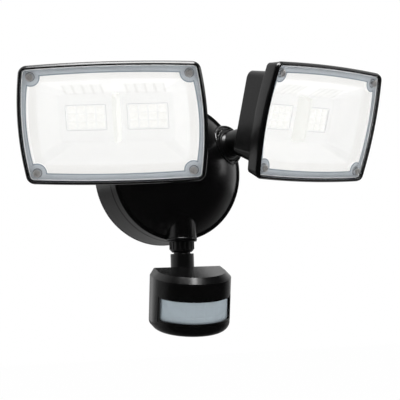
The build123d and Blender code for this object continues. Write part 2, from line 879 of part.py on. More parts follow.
for side in ("left", "right"):
    build_head(side, build_arm(side))

# ---------------------------------------------------------------- sensor joint
ring_top = sensor_boss_bottom + run_gap
with BuildPart() as sensor_lock_ring:
    with BuildSketch(Plane.XY.offset(-ring_top)):
        with Locations((0, -stem_depth)):
            Circle(sensor_ring_radius - ring_rib_radius)
    extrude(amount=-sensor_ring_length)
    chamfer(sensor_lock_ring.faces().sort_by(Axis.Z)[0].edges(), sensor_ring_chamfer)
    with BuildSketch(Plane.XY.offset(-ring_top)):
        with Locations((0, -stem_depth)):
            with PolarLocations(sensor_ring_radius - ring_rib_radius, sensor_ring_ribs):
                Circle(ring_rib_radius)
    extrude(amount=sensor_ring_chamfer + ring_rib_radius - sensor_ring_length)
    with BuildSketch(Plane.XY.offset(-ring_top)):
        with Locations((0, -stem_depth)):
            Circle(sensor_collar_radius + fit_gap)
    extrude(amount=-(sensor_ring_length - sensor_ring_lip), mode=Mode.SUBTRACT)
    with BuildSketch(Plane.XY.offset(-ring_top)):
        with Locations((0, -stem_depth)):
            Circle(spigot_radius + run_gap)
    extrude(amount=-sensor_ring_length, mode=Mode.SUBTRACT)
save(sensor_lock_ring, "sensor_lock_ring")

stem_face = facing((0, -stem_depth, -stem_pivot), sensor_yaw, 0)
spigot_clip_radius = spigot_radius + spigot_clip_width
with BuildPart() as sensor_stem:
    with BuildSketch(Plane.XY.offset(-stem_top)):
        with Locations((0, -stem_depth)):
            Circle(spigot_radius)
    extrude(amount=stem_top - spigot_top)
    with BuildSketch(Plane.XY.offset(-stem_shoulder)):
        with Locations((0, -stem_depth)):
            RegularPolygon(stem_radius, stem_sides)
    extrude(amount=stem_shoulder - stem_top)
    with BuildSketch(side_of(stem_face, stem_face.origin)):
        Circle(stem_eye_radius)
        with Locations(((stem_pivot - stem_shoulder) / 2, 0)):
            Rectangle(stem_pivot - stem_shoulder, 2 * stem_eye_radius)
        Circle(stem_pin + fit_gap, mode=Mode.SUBTRACT)
    extrude(amount=stem_eye_half, both=True)
    with BuildSketch(Plane.XY.offset(-stem_shoulder)):
        with Locations((0, -stem_depth)):
            Circle(spigot_bore)
    extrude(amount=stem_shoulder - spigot_top, mode=Mode.SUBTRACT)
    with BuildSketch(Plane.XY.offset(-spigot_cavity + run_gap)):
        with Locations((0, -stem_depth)):
            Circle(spigot_clip_radius)
            Circle(spigot_radius - clip_bite, mode=Mode.SUBTRACT)
    extrude(amount=clip_thickness, mode=Mode.SUBTRACT)
save(sensor_stem, "sensor_stem")

with BuildPart() as sensor_stem_clip:
    with BuildSketch(Plane.XY.offset(-spigot_cavity + run_gap)):
        with Locations((0, -stem_depth)):
            Circle(spigot_clip_radius)
            Circle(spigot_radius - clip_bite, mode=Mode.SUBTRACT)
        with Locations((0, -stem_depth - spigot_clip_radius / 2)):
            Rectangle(
                2 * (spigot_radius - 2 * clip_bite), spigot_clip_radius, mode=Mode.SUBTRACT
            )
    extrude(amount=clip_thickness)
save(sensor_stem_clip, "sensor_stem_clip")

# ---------------------------------------------------------------- sensor head
sensor_tilt = facing(stem_face.origin, sensor_yaw, sensor_pitch)
back_top = stem_face.origin + sensor_tilt.z_dir * sensor_back + sensor_tilt.y_dir * sensor_rise
sensor_face = Plane(origin=back_top, x_dir=sensor_tilt.x_dir, z_dir=sensor_tilt.z_dir)
plan = Plane(origin=back_top, x_dir=sensor_tilt.x_dir, z_dir=-sensor_tilt.y_dir)
downwards = Axis(back_top, plan.z_dir)
outwards = Axis(back_top, sensor_tilt.z_dir)
sensor_screw_places = [
    (sign * sensor_screw_x, -drop) for sign in (-1, 1) for drop in sensor_screw_drops
]


def sensor_body(inset):
    """The sensor's rounded body drawn in by inset, with its two back corners cut off."""
    half = sensor_half - inset
    with BuildPart() as body:
        with BuildSketch(plan.offset(inset)):
            add(sensor_outline(inset))
        extrude(amount=sensor_height - 2 * inset)
        top_edges = body.faces().sort_by(downwards)[0].edges().sort_by(outwards)
        chamfer(top_edges[1:], sensor_top_slope - inset / 2)
        fillet(body.faces().sort_by(downwards)[-1].edges(), sensor_bottom_round - inset)
        with BuildSketch(plan):
            for sign in (-1, 1):
                Polygon(
                    (sign * half, inset),
                    (sign * half, sensor_bevel),
                    (sign * (sensor_half - sensor_bevel), inset),
                    align=None,
                )
        extrude(amount=sensor_height, mode=Mode.SUBTRACT)
    return body.part


def sensor_half_shell(keep):
    """One half of the sensor's case: the body hollowed out and cut at its parting plane."""
    with BuildPart() as shell:
        add(sensor_body(0))
        add(sensor_body(sensor_wall), mode=Mode.SUBTRACT)
        split(bisect_by=sensor_face.offset(sensor_split), keep=keep)
    return shell.part


def window_band(outer, inner, half, top, bottom):
    """A curved band of the sensor's front, between two insets, half wide to each side."""
    with BuildPart() as band:
        with BuildSketch(plan.offset(top)):
            add(sensor_outline(outer))
            add(sensor_outline(inner), mode=Mode.SUBTRACT)
            with Locations((0, sensor_arc_depth + sensor_half)):
                Rectangle(2 * half, 2 * (sensor_half - window_side_depth), mode=Mode.INTERSECT)
        extrude(amount=bottom - top)
    return band.part


with BuildPart() as sensor_front_shell:
    add(sensor_half_shell(Keep.TOP))
    with BuildSketch(sensor_face.offset(sensor_split)):
        with Locations(*sensor_screw_places):
            Circle(sensor_post_radius)
    extrude(amount=sensor_post_length)
    with BuildSketch(sensor_face.offset(pir_board_depth + board_thickness)):
        with Locations((0, -(pir_board_top + pir_board_bottom) / 2)):
            with GridLocations(2 * pir_board_half, 1, 2, 1):
                Rectangle(rest_width, pir_board_bottom - pir_board_top - 2 * rest_inset)
    extrude(amount=rest_thickness)
    add(
        window_band(-1, sensor_wall + 0.1, window_half, window_top, window_bottom),
        mode=Mode.SUBTRACT,
    )
    with BuildSketch(sensor_face.offset(sensor_split)):
        with Locations(*sensor_screw_places):
            Circle(sensor_screw_radius)
    extrude(amount=sensor_post_length - 1, mode=Mode.SUBTRACT)
    with BuildSketch(plan.offset(sensor_height - sensor_wall)):
        with Locations((-dial_x, dial_depth), (dial_x, dial_depth)):
            Circle(dial_radius + fit_gap)
        with Locations((0, switch_depth)):
            Rectangle(2 * switch_slot_half, switch_width + 2 * fit_gap)
    extrude(amount=sensor_wall, mode=Mode.SUBTRACT)
save(sensor_front_shell, "sensor_front_shell")

with BuildPart() as sensor_rear_shell:
    add(sensor_half_shell(Keep.BOTTOM))
    with BuildSketch(sensor_face.offset(sensor_wall - 0.5)):
        with Locations(*sensor_screw_places):
            Circle(sensor_post_radius)
    extrude(amount=sensor_split - sensor_wall + 0.5)
    for sign in (-1, 1):
        ear_plane = side_of(sensor_tilt, stem_face.origin).offset(sign * (stem_eye_half + run_gap))
        with BuildSketch(ear_plane):
            Polygon(
                (-stem_eye_radius, 0),
                (-stem_eye_radius - 2, sensor_back + 1),
                (stem_eye_radius + 2, sensor_back + 1),
                (stem_eye_radius, 0),
                align=None,
            )
            Circle(stem_eye_radius)
            Circle(stem_pin, mode=Mode.SUBTRACT)
        extrude(amount=sign * stem_ear)
    with BuildSketch(sensor_face):
        with Locations(*sensor_screw_places):
            Circle(sensor_screw_radius + fit_gap)
    extrude(amount=sensor_split, mode=Mode.SUBTRACT)
save(sensor_rear_shell, "sensor_rear_shell")

with BuildPart() as window_frame:
    add(window_band(frame_inset, sensor_wall, window_half, window_top, window_bottom))
    add(
        window_band(
            -1,
            sensor_wall + 1,
            window_half - frame_border,
            window_top + frame_border,
            window_bottom - frame_border,
        ),
        mode=Mode.SUBTRACT,
    )
save(window_frame, "window_frame")

lens_inset = sensor_wall + seat_gap / 4
with BuildPart() as fresnel_lens:
    add(
        window_band(
            lens_inset,
            lens_inset + fresnel_thickness,
            window_half - 1,
            window_top - 1,
            window_bottom + 1,
        )
    )
save(fresnel_lens, "fresnel_lens")

with BuildPart() as sensor_board:
    with BuildSketch(sensor_face.offset(pir_board_depth)):
        with Locations((0, -(pir_board_top + pir_board_bottom) / 2)):
            Rectangle(2 * pir_board_half, pir_board_bottom - pir_board_top)
    extrude(amount=board_thickness)
save(sensor_board, "sensor_board")

with BuildPart() as pyro_sensor:
    with BuildSketch(sensor_face.offset(pir_board_depth + board_thickness)):
        with Locations((0, -(window_top + window_bottom) / 2)):
            Circle(pir_can_radius)
    extrude(amount=pir_can_height)
save(pyro_sensor, "pyro_sensor")

with BuildPart() as control_board:
    with BuildSketch(plan.offset(pir_board_bottom)):
        with Locations((0, control_board_middle)):
            Rectangle(2 * control_board_half, control_board_length)
    extrude(amount=board_thickness)
save(control_board, "control_board")

control_face = pir_board_bottom + board_thickness
for name, x in (("time_dial", -dial_x), ("range_dial", dial_x)):
    with BuildPart() as dial:
        with BuildSketch(plan.offset(control_face + run_gap)):
            with Locations((x, dial_depth)):
                Circle(dial_radius)
        extrude(amount=sensor_height + dial_proud - control_face - run_gap)
        fillet(dial.faces().sort_by(downwards)[-1].edges(), dial_proud / 2)
        with BuildSketch(plan.offset(sensor_height + dial_proud - dial_slot_depth)):
            with Locations((x, dial_depth)):
                Rectangle(2 * dial_radius - 2, dial_slot_width)
        extrude(amount=dial_slot_depth, mode=Mode.SUBTRACT)
    save(dial, name)

with BuildPart() as mode_switch:
    with BuildSketch(plan.offset(control_face + run_gap)):
        with Locations((0, switch_depth)):
            Rectangle(2 * (switch_slot_half - switch_travel - run_gap), switch_width)
    extrude(amount=sensor_height + switch_proud - control_face - run_gap)
    chamfer(mode_switch.faces().sort_by(downwards)[-1].edges(), switch_proud / 3)
save(mode_switch, "mode_switch")

with BuildPart() as sensor_screws:
    with BuildSketch(sensor_face):
        with Locations(*sensor_screw_places):
            Circle(sensor_screw_radius)
    extrude(amount=sensor_split + sensor_post_length - 2)
    with BuildSketch(sensor_face):
        with Locations(*sensor_screw_places):
            Circle(sensor_screw_head)
    extrude(amount=-sensor_screw_radius, taper=screw_slope)
save(sensor_screws, "sensor_screws")

stem_outer = stem_eye_half + run_gap + stem_ear
stem_pin_plane = side_of(sensor_tilt, stem_face.origin)
with BuildPart() as sensor_pin:
    with BuildSketch(stem_pin_plane.offset(-stem_outer - stem_pin_head_height)):
        Circle(stem_pin_head)
    extrude(amount=stem_pin_head_height)
    with BuildSketch(stem_pin_plane.offset(-stem_outer)):
        Circle(stem_pin)
    extrude(amount=2 * stem_outer)
    with BuildSketch(stem_pin_plane.offset(stem_outer)):
        Circle(stem_pin_head)
    extrude(amount=stem_pin_head_height)
save(sensor_pin, "sensor_pin")
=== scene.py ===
"""Looks of a twin-head security light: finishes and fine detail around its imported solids.

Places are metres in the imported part's frame: +X to the right of someone who faces the wall,
+Y into the wall, +Z up. A shape's own sizes are millimetres where its docstring says so. Every
new piece sits at the origin with its place in its mesh.
"""

from __future__ import annotations

import logging
import math
from collections.abc import Callable
from dataclasses import dataclass, field
from enum import Enum
from typing import Any, Protocol

import bmesh
import bpy
import numpy as np
from mathutils import Matrix, Vector

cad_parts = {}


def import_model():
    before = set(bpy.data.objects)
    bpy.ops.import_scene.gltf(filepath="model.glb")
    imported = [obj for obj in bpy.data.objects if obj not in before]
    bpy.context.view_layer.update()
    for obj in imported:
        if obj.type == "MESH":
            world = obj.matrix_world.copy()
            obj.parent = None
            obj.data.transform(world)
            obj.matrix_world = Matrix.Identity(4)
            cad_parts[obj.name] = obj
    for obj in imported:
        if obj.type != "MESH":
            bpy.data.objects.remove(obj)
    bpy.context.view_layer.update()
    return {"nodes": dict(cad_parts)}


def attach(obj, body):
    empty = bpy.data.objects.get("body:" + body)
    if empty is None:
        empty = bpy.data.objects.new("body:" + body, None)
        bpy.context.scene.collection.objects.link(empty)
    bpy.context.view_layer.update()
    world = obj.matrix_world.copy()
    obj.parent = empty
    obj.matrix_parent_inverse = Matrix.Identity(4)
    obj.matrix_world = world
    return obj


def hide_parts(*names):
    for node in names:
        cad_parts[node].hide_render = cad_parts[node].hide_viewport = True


log = logging.getLogger("security_light")

MM = 0.001
WELD = 3e-6
FLAT = math.radians(0.4)
SHARP = math.radians(35)
HALVINGS = 36
LIT_GRAIN = 0.5 * MM
LIT_RELIEF = 0.008 * MM


class Side(Enum):
    """The two lamp heads, as seen by someone who faces the wall."""

    LEFT = "left"
    RIGHT = "right"

    @property
    def sign(self) -> int:
        """Minus one for the left head and one for the right."""
        return 1 if self is Side.RIGHT else -1


# ------------------------------------------------------------------ shader expressions
class Socket:
    """One output socket of a material, with the operators that a shader expression needs."""

    def __init__(self, graph: Graph, out: Any) -> None:
        """Wraps an output socket.

        Args:
            graph: The graph that the socket belongs to.
            out: Blender's own output socket.
        """
        self.graph = graph
        self.out = out

    def _maths(self, operation: str, a: Any, b: Any = None) -> Socket:
        """Adds a Math node.

        Args:
            operation: The node's operation, in Blender's words.
            a: The first value or socket.
            b: The second value or socket, if the operation takes one.

        Returns:
            The node's result.
        """
        values = {0: a} if b is None else {0: a, 1: b}
        return self.graph.node("ShaderNodeMath", {"operation": operation}, values)

    def __add__(self, other: Any) -> Socket:
        """Sum."""
        return self._maths("ADD", self, other)

    def __radd__(self, other: Any) -> Socket:
        """Sum, from the right."""
        return self._maths("ADD", other, self)

    def __sub__(self, other: Any) -> Socket:
        """Difference."""
        return self._maths("SUBTRACT", self, other)

    def __rsub__(self, other: Any) -> Socket:
        """Difference, from the right."""
        return self._maths("SUBTRACT", other, self)

    def __mul__(self, other: Any) -> Socket:
        """Product."""
        return self._maths("MULTIPLY", self, other)

    def __rmul__(self, other: Any) -> Socket:
        """Product, from the right."""
        return self._maths("MULTIPLY", other, self)

    def __truediv__(self, other: Any) -> Socket:
        """Quotient."""
        return self._maths("DIVIDE", self, other)

    def size(self) -> Socket:
        """Absolute value."""
        return self._maths("ABSOLUTE", self)

    def wrap(self) -> Socket:
        """The part of the value past its last whole number."""
        return self._maths("FRACT", self)

    def between(self, low: float, high: float) -> Socket:
        """Spreads low to high over zero to one and clamps the rest.

        Args:
            low: The value that becomes zero.
            high: The value that becomes one.

        Returns:
            The clamped result.
        """
        settings = {"clamp": True}
        values = {"Value": self, "From Min": low, "From Max": high}
        return self.graph.node("ShaderNodeMapRange", settings, values, "Result")


class Graph:
    """The nodes of a material or of the world, under construction."""

    def __init__(self, owner: Any) -> None:
        """Empties the node tree of its owner.

        Args:
            owner: Blender's own material or world.
        """
        owner.use_nodes = True
        self.owner = owner
        self.tree = owner.node_tree
        self.tree.nodes.clear()

    @classmethod
    def material(cls, name: str) -> Graph:
        """The empty graph of a new material."""
        return cls(bpy.data.materials.new(name))

    def node(
        self,
        kind: str,
        settings: dict[str, Any] | None = None,
        values: dict[Any, Any] | None = None,
        output: str | int = 0,
    ) -> Socket:
        """Adds one node of any type.

        Args:
            kind: The node's type.
            settings: The node's own settings, set before its sockets. "stops" holds a ramp's.
            values: Numbers, colours or sockets for its inputs, by name or by place.
            output: The output to return, by name or by place.

        Returns:
            The chosen output.
        """
        made = self.tree.nodes.new(kind)
        for key, value in (settings or {}).items():
            if key == "stops":
                self._stops(made.color_ramp, value)
            else:
                setattr(made, key, value)
        for key, value in (values or {}).items():
            socket = made.inputs[key]
            if isinstance(value, Socket):
                self.tree.links.new(value.out, socket)
            else:
                socket.default_value = value
        return Socket(self, made.outputs[output] if made.outputs else None)

    @staticmethod
    def _stops(ramp: Any, stops: list[tuple[float, tuple[float, ...]]]) -> None:
        """Fills a colour ramp.

        Args:
            ramp: Blender's colour ramp.
            stops: Places from zero to one, each with its colour.
        """
        while len(ramp.elements) < len(stops):
            ramp.elements.new(0.5)
        for element, (place, colour) in zip(ramp.elements, stops):
            element.position = place
            element.color = colour

    def place(self) -> Socket:
        """The point's own coordinates, in metres."""
        return self.node("ShaderNodeTexCoord", output="Object")

    def axes(self, turn: Any, origin: Vector) -> tuple[Socket, ...]:
        """Coordinates about a point, along axes that are turned.

        Args:
            turn: Euler angles of the axes, in radians.
            origin: The point that becomes zero.

        Returns:
            The three coordinates, in metres.
        """
        settings = {"vector_type": "TEXTURE"}
        values = {"Vector": self.place(), "Location": origin, "Rotation": turn}
        return self.parts(self.node("ShaderNodeMapping", settings, values))

    def parts(self, vector: Socket) -> tuple[Socket, ...]:
        """The three parts of a vector."""
        split = self.node("ShaderNodeSeparateXYZ", None, {0: vector}).out.node
        return tuple(Socket(self, out) for out in split.outputs)

    def noise(self, grain: float, detail: float = 3.0, roughness: float = 0.55) -> Socket:
        """Even noise.

        Args:
            grain: The size of one grain, in metres.
            detail: How many finer layers it has.
            roughness: How strong the finer layers are.

        Returns:
            The noise, from zero to one.
        """
        values = {
            "Vector": self.place(),
            "Scale": 1.0 / grain,
            "Detail": detail,
            "Roughness": roughness,
        }
        return self.node("ShaderNodeTexNoise", None, values, "Fac")

    def blend(self, share: Any, low: Any, high: Any) -> Socket:
        """Mixes two colours.

        Args:
            share: How much of the second, from zero to one.
            low: The first colour.
            high: The second colour.

        Returns:
            The mixed colour.
        """
        values = {0: share, 6: low, 7: high}
        return self.node("ShaderNodeMix", {"data_type": "RGBA"}, values, 2)

    def bump(self, height: Socket, depth: float, strength: float = 1.0) -> Socket:
        """Turns a height into a normal.

        Args:
            height: The height, from zero to one.
            depth: What one means, in metres.
            strength: How much of it shows.

        Returns:
            The normal.
        """
        values = {"Height": height, "Distance": depth, "Strength": strength}
        return self.node("ShaderNodeBump", None, values)

    def surface(self, values: dict[str, Any]) -> Any:
        """Adds a Principled shader and makes it the material's surface.

        Args:
            values: Numbers, colours or sockets for its inputs.

        Returns:
            The finished material.
        """
        shader = self.node("ShaderNodeBsdfPrincipled", None, values)
        self.node("ShaderNodeOutputMaterial", None, {"Surface": shader})
        return self.owner


def rgba(red: float, green: float, blue: float, alpha: float = 1.0) -> tuple[float, ...]:
    """A colour with its alpha, as Blender's sockets take it."""
    return (red, green, blue, alpha)


def shade(colour: tuple[float, ...], factor: float) -> tuple[float, ...]:
    """The same colour, lighter or darker by a factor."""
    return (*(min(1.0, part * factor) for part in colour[:3]), colour[3])


# ------------------------------------------------------------------ finishes
class Finish(Protocol):
    """Anything that names a material and builds it."""

    @property
    def name(self) -> str:
        """The material's name."""

    def make(self) -> Any:
        """Builds the material."""


def lit_surface(graph: Graph, colour: Socket, light: Socket) -> Any:
    """Finishes a lit white surface, with a fine grain in its gloss.

    Args:
        graph: The material's graph.
        colour: Its colour.
        light: Its own light.

    Returns:
        The finished material.
    """
    fine = graph.noise(LIT_GRAIN, 2.0)
    return graph.surface(
        {
            "Base Color": colour,
            "Roughness": fine * 0.08 + 0.36,
            "Emission Color": light,
            "Emission Strength": 1.0,
            "Normal": graph.bump(fine, LIT_RELIEF),
        }
    )


@dataclass(frozen=True)
class Moulded:
    """Injection-moulded plastic: a fine spark-eroded grain, with slow clouds in its gloss."""

    name: str
    colour: tuple[float, ...] = rgba(0.0018, 0.0018, 0.0019)
    gloss: float = 0.24
    grain: float = 0.45 * MM
    relief: float = 0.010 * MM
    cloud: float = 22 * MM
    fleck: float = 1.6 * MM

    def make(self) -> Any:
        """Builds the material."""
        graph = Graph.material(self.name)
        fine = graph.noise(self.grain, 2.0)
        clouds = graph.noise(self.cloud, 4.0)
        flecks = graph.noise(self.fleck, 5.0, 0.7).between(0.66, 0.82)
        tone = graph.blend(clouds, shade(self.colour, 0.8), shade(self.colour, 1.35))
        colour = graph.blend(flecks * 0.35, tone, shade(self.colour, 2.6))
        rough = clouds * 0.10 + fine * 0.06 + (self.gloss - 0.08) + flecks * 0.05
        return graph.surface(
            {
                "Base Color": colour,
                "Roughness": rough,
                "Normal": graph.bump(fine, self.relief),
                "IOR": 1.5,
            }
        )


@dataclass(frozen=True)
class Metal:
    """Plated or stainless steel with fine turning marks and a little tarnish."""

    name: str
    colour: tuple[float, ...] = rgba(0.62, 0.62, 0.61)
    gloss: float = 0.28
    grain: float = 0.25 * MM
    metal: float = 0.6
    relief: float = 0.01 * MM
    cloud: float = 3.5 * MM

    def make(self) -> Any:
        """Builds the material."""
        graph = Graph.material(self.name)
        fine = graph.noise(self.grain, 3.0)
        clouds = graph.noise(self.cloud, 4.0)
        colour = graph.blend(clouds, shade(self.colour, 0.78), shade(self.colour, 1.12))
        rough = clouds * 0.16 + fine * 0.10 + (self.gloss - 0.12)
        return graph.surface(
            {
                "Base Color": colour,
                "Metallic": self.metal,
                "Roughness": rough,
                "Normal": graph.bump(fine, self.relief),
            }
        )


@dataclass(frozen=True)
class Rubber:
    """Silicone, rubber or foam: soft sheen and a pitted surface."""

    name: str
    colour: tuple[float, ...]
    pits: float = 0.6 * MM
    relief: float = 0.03 * MM
    gloss: float = 0.62
    cloud: float = 9 * MM

    def make(self) -> Any:
        """Builds the material."""
        graph = Graph.material(self.name)
        pitted = graph.noise(self.pits, 4.0)
        clouds = graph.noise(self.cloud, 3.0)
        colour = graph.blend(clouds, shade(self.colour, 0.9), shade(self.colour, 1.1))
        return graph.surface(
            {
                "Base Color": colour,
                "Roughness": pitted * 0.12 + (self.gloss - 0.06),
                "Normal": graph.bump(pitted, self.relief),
            }
        )


@dataclass(frozen=True)
class ClearLens:
    """Clear polycarbonate: see-through, glossy, with a trace of haze."""

    name: str
    colour: tuple[float, ...] = rgba(0.93, 0.96, 0.98)
    alpha: float = 0.07
    cloud: float = 14 * MM

    def make(self) -> Any:
        """Builds the material."""
        graph = Graph.material(self.name)
        haze = graph.noise(self.cloud, 3.0)
        return graph.surface(
            {
                "Base Color": graph.blend(haze, shade(self.colour, 0.97), self.colour),
                "Roughness": haze * 0.04 + 0.03,
                "Alpha": haze * 0.03 + (self.alpha - 0.015),
                "IOR": 1.58,
            }
        )


@dataclass(frozen=True)
class Glowing:
    """A lit white surface: its own light is nearly white, with slow changes over it."""

    name: str
    colour: tuple[float, ...] = rgba(0.30, 0.298, 0.295)
    light: tuple[float, ...] = rgba(0.66, 0.655, 0.645)
    grain: float = 16 * MM

    def make(self) -> Any:
        """Builds the material."""
        graph = Graph.material(self.name)
        slow = graph.noise(self.grain, 3.0)
        colour = graph.blend(slow, shade(self.colour, 0.98), shade(self.colour, 1.02))
        light = graph.blend(slow, shade(self.light, 0.985), shade(self.light, 1.015))
        return lit_surface(graph, colour, light)


@dataclass(frozen=True)
class Dish:
    """The lit reflector: a pale ledge, a brighter bowl and faint bars of light above each array.

    The ledge's light is lower than the bowl's: painted shade on the ledge. The bars are painted
    reflections of the chips: stripes across the bowl's upper wall, one to each column of chips.
    Lengths are metres.
    """

    name: str
    place: Place
    mouth_depth: float
    array_x: float
    reflected_bar_pitch: float
    reflected_bar_low: float = 18.0 * MM
    reflected_bar_high: float = 28.5 * MM
    reflected_bar_inside: float = 14.6 * MM
    reflected_bar_outside: float = 15.8 * MM
    fade: float = 1.5 * MM
    cloud: float = 24 * MM
    # Painted shade: the ledge gets less light than the bowl.
    ledge: tuple[float, ...] = rgba(0.66, 0.65, 0.63)
    bowl: tuple[float, ...] = rgba(0.72, 0.717, 0.705)
    # Painted reflection: the bars' light, the chips' columns mirrored in the upper wall.
    reflected_bar: tuple[float, ...] = rgba(0.58, 0.575, 0.555)

    def make(self) -> Any:
        """Builds the material."""
        graph = Graph.material(self.name)
        x, z, out = graph.axes(self.place.turn(), self.place.origin)
        slow = graph.noise(self.cloud, 2.0)
        inside = (out * -1.0).between(self.mouth_depth - 0.6 * MM, self.mouth_depth + self.fade)
        # Painted shade: the ledge, in front of the bowl's mouth, gets the lower light.
        tone = graph.blend(inside, self.ledge, self.bowl)
        # Painted reflection: bars over each array, one stripe to each column of chips.
        off = x.size() - self.array_x
        near = 1.0 - off.size().between(self.reflected_bar_inside, self.reflected_bar_outside)
        low = z.between(self.reflected_bar_low, self.reflected_bar_low + self.fade)
        rows = low * (1.0 - z.between(self.reflected_bar_high - self.fade, self.reflected_bar_high))
        reflected_stripe = (((off / self.reflected_bar_pitch).wrap() - 0.5).size() * 2.0).between(0.62, 0.86)
        bars = near * rows * (0.35 + reflected_stripe * 0.65) * inside
        colour = graph.blend(slow, rgba(0.245, 0.243, 0.24), rgba(0.255, 0.253, 0.25))
        return lit_surface(graph, colour, graph.blend(bars, tone, self.reflected_bar))


@dataclass(frozen=True)
class CircuitBoard:
    """Solder mask over fibreglass, with a faint weave and copper tracks under it."""

    name: str
    colour: tuple[float, ...] = rgba(0.02, 0.14, 0.05)
    track: tuple[float, ...] = rgba(0.05, 0.24, 0.09)
    pitch: float = 3.2 * MM

    def make(self) -> Any:
        """Builds the material."""
        graph = Graph.material(self.name)
        values = {"Vector": graph.place(), "Scale": 1.0 / self.pitch}
        cells = graph.node("ShaderNodeTexVoronoi", {"distance": "CHEBYCHEV"}, values, "Distance")
        tracks = cells.between(0.42, 0.46)
        return graph.surface(
            {
                "Base Color": graph.blend(tracks, self.track, self.colour),
                "Roughness": graph.noise(1.2 * MM) * 0.1 + 0.25,
                "Normal": graph.bump(tracks, 0.03 * MM),
            }
        )


BODY = Moulded("body_black")
JOINT = Moulded("joint_black", rgba(0.0020, 0.0020, 0.0021), 0.33)
STEEL = Metal("stainless_screw", rgba(0.56, 0.55, 0.54), 0.3)
ZINC = Metal("zinc_plate", rgba(0.55, 0.56, 0.57), 0.38)
FOAM = Rubber("wall_foam", rgba(0.03, 0.03, 0.03))
BORDER = Rubber("border_grey", rgba(0.50, 0.54, 0.58), 0.5 * MM, 0.006 * MM, 0.34)
BORDER_EDGE = Rubber("border_bead", rgba(0.25, 0.30, 0.34), 0.5 * MM, 0.006 * MM, 0.34)
LENS_EDGE = Rubber("lens_edge", rgba(0.86, 0.87, 0.88), 0.5 * MM, 0.006 * MM, 0.22)
# Painted shade: the dark ring round each lens screw.
SCREW_SHADE = Rubber("screw_shadow", rgba(0.20, 0.21, 0.22), 0.5 * MM, 0.006 * MM, 0.5)
PLUG = Rubber("plug_rubber", rgba(0.012, 0.012, 0.012))
LENS = ClearLens("lens_clear")
# Painted light: the gasket, the white board, the array lips and the rib glow with the lamps' light on
# them; only the chips are lamps.
SEAL_WHITE = Glowing("seal_white", light=rgba(0.66, 0.65, 0.64))
BOARD_WHITE = Glowing("board_white", light=rgba(0.67, 0.67, 0.66))
LIP = Glowing("array_lip", rgba(0.20, 0.20, 0.20), rgba(0.52, 0.52, 0.52))
RIB = Glowing("ridge_grey", rgba(0.24, 0.24, 0.23), rgba(0.70, 0.70, 0.67))
LED = Glowing("led_yellow", rgba(0.25, 0.245, 0.23), rgba(0.77, 0.765, 0.745), 2.5 * MM)
BOARD = CircuitBoard("board_green")
FRESNEL = Rubber("fresnel_grey", rgba(0.36, 0.42, 0.46), 1.2 * MM, 0.01 * MM, 0.32)
CAN = Metal("can_steel", rgba(0.6, 0.58, 0.52), 0.3)
GROUND = Metal("brass_ground", rgba(0.2, 0.45, 0.2), 0.35)
COPPER = Metal("coil_copper", rgba(0.55, 0.25, 0.1), 0.35)
SLEEVE = Moulded("capacitor_sleeve", rgba(0.02, 0.03, 0.06), 0.3)
RELAY = Moulded("relay_case", rgba(0.03, 0.09, 0.25), 0.35)
TERMINAL = Moulded("terminal_plastic", rgba(0.1, 0.3, 0.15), 0.4)
DIAL = Moulded("dial_grey", rgba(0.03, 0.03, 0.032), 0.42)


# ------------------------------------------------------------------ surfaces
@dataclass(frozen=True)
class Place:
    """Local axes of a sub-assembly: across, up and out of it, from an origin."""

    origin: Vector
    across: Vector
    up: Vector
    out: Vector

    @classmethod
    def facing(cls, origin: Any, yaw: float, pitch: float, roll: float = 0.0) -> Place:
        """Axes that face out of the wall, turned right, then up, then rolled.

        Args:
            origin: Their origin, in metres.
            yaw: The turn to the right, in degrees.
            pitch: The turn upwards, in degrees.
            roll: The roll about the way out, in degrees.

        Returns:
            The axes.
        """
        turn, rise, lean = (math.radians(angle) for angle in (yaw, pitch, roll))
        level = Vector((math.cos(turn), math.sin(turn), 0.0))
        flat = Vector((math.sin(turn), -math.cos(turn), 0.0))
        out = flat * math.cos(rise) + Vector((0.0, 0.0, math.sin(rise)))
        across = level * math.cos(lean) + out.cross(level) * math.sin(lean)
        return cls(Vector(origin), across, out.cross(across), out)

    def moved(self, x: float, z: float, depth: float) -> Place:
        """The same axes from another origin, given in these axes, in metres."""
        spot = self.origin + self.across * x + self.up * z - self.out * depth
        return Place(spot, self.across, self.up, self.out)

    def nodded(self, angle: float) -> Place:
        """The same axes, turned upwards about the way across.

        Args:
            angle: How far, in degrees.

        Returns:
            The turned axes.
        """
        lift = math.radians(angle)
        out = self.out * math.cos(lift) + self.up * math.sin(lift)
        return Place(self.origin, self.across, out.cross(self.across), out)

    def turn(self) -> Any:
        """Euler angles of the axes, for a Mapping node."""
        return Matrix((self.across, self.up, self.out)).transposed().to_euler()

    def at(self, x: Any, z: Any, depth: Any) -> np.ndarray:
        """World points of local ones.

        Args:
            x: Distances across, in metres.
            z: Distances up, in metres.
            depth: Distances back, against the way out, in metres.

        Returns:
            Points with the arguments' shape and a last axis of three.
        """
        x, z, depth = np.broadcast_arrays(x, z, depth)
        axes = np.array([self.across, self.up, self.out])
        return np.array(self.origin) + np.stack([x, z, -depth], -1) @ axes


class Shape(Protocol):
    """Anything whose edge a ray from its centre meets once."""

    def reach(self, angle: np.ndarray, inset: float) -> np.ndarray:
        """Distance from the centre to the edge, drawn in by inset, in metres."""


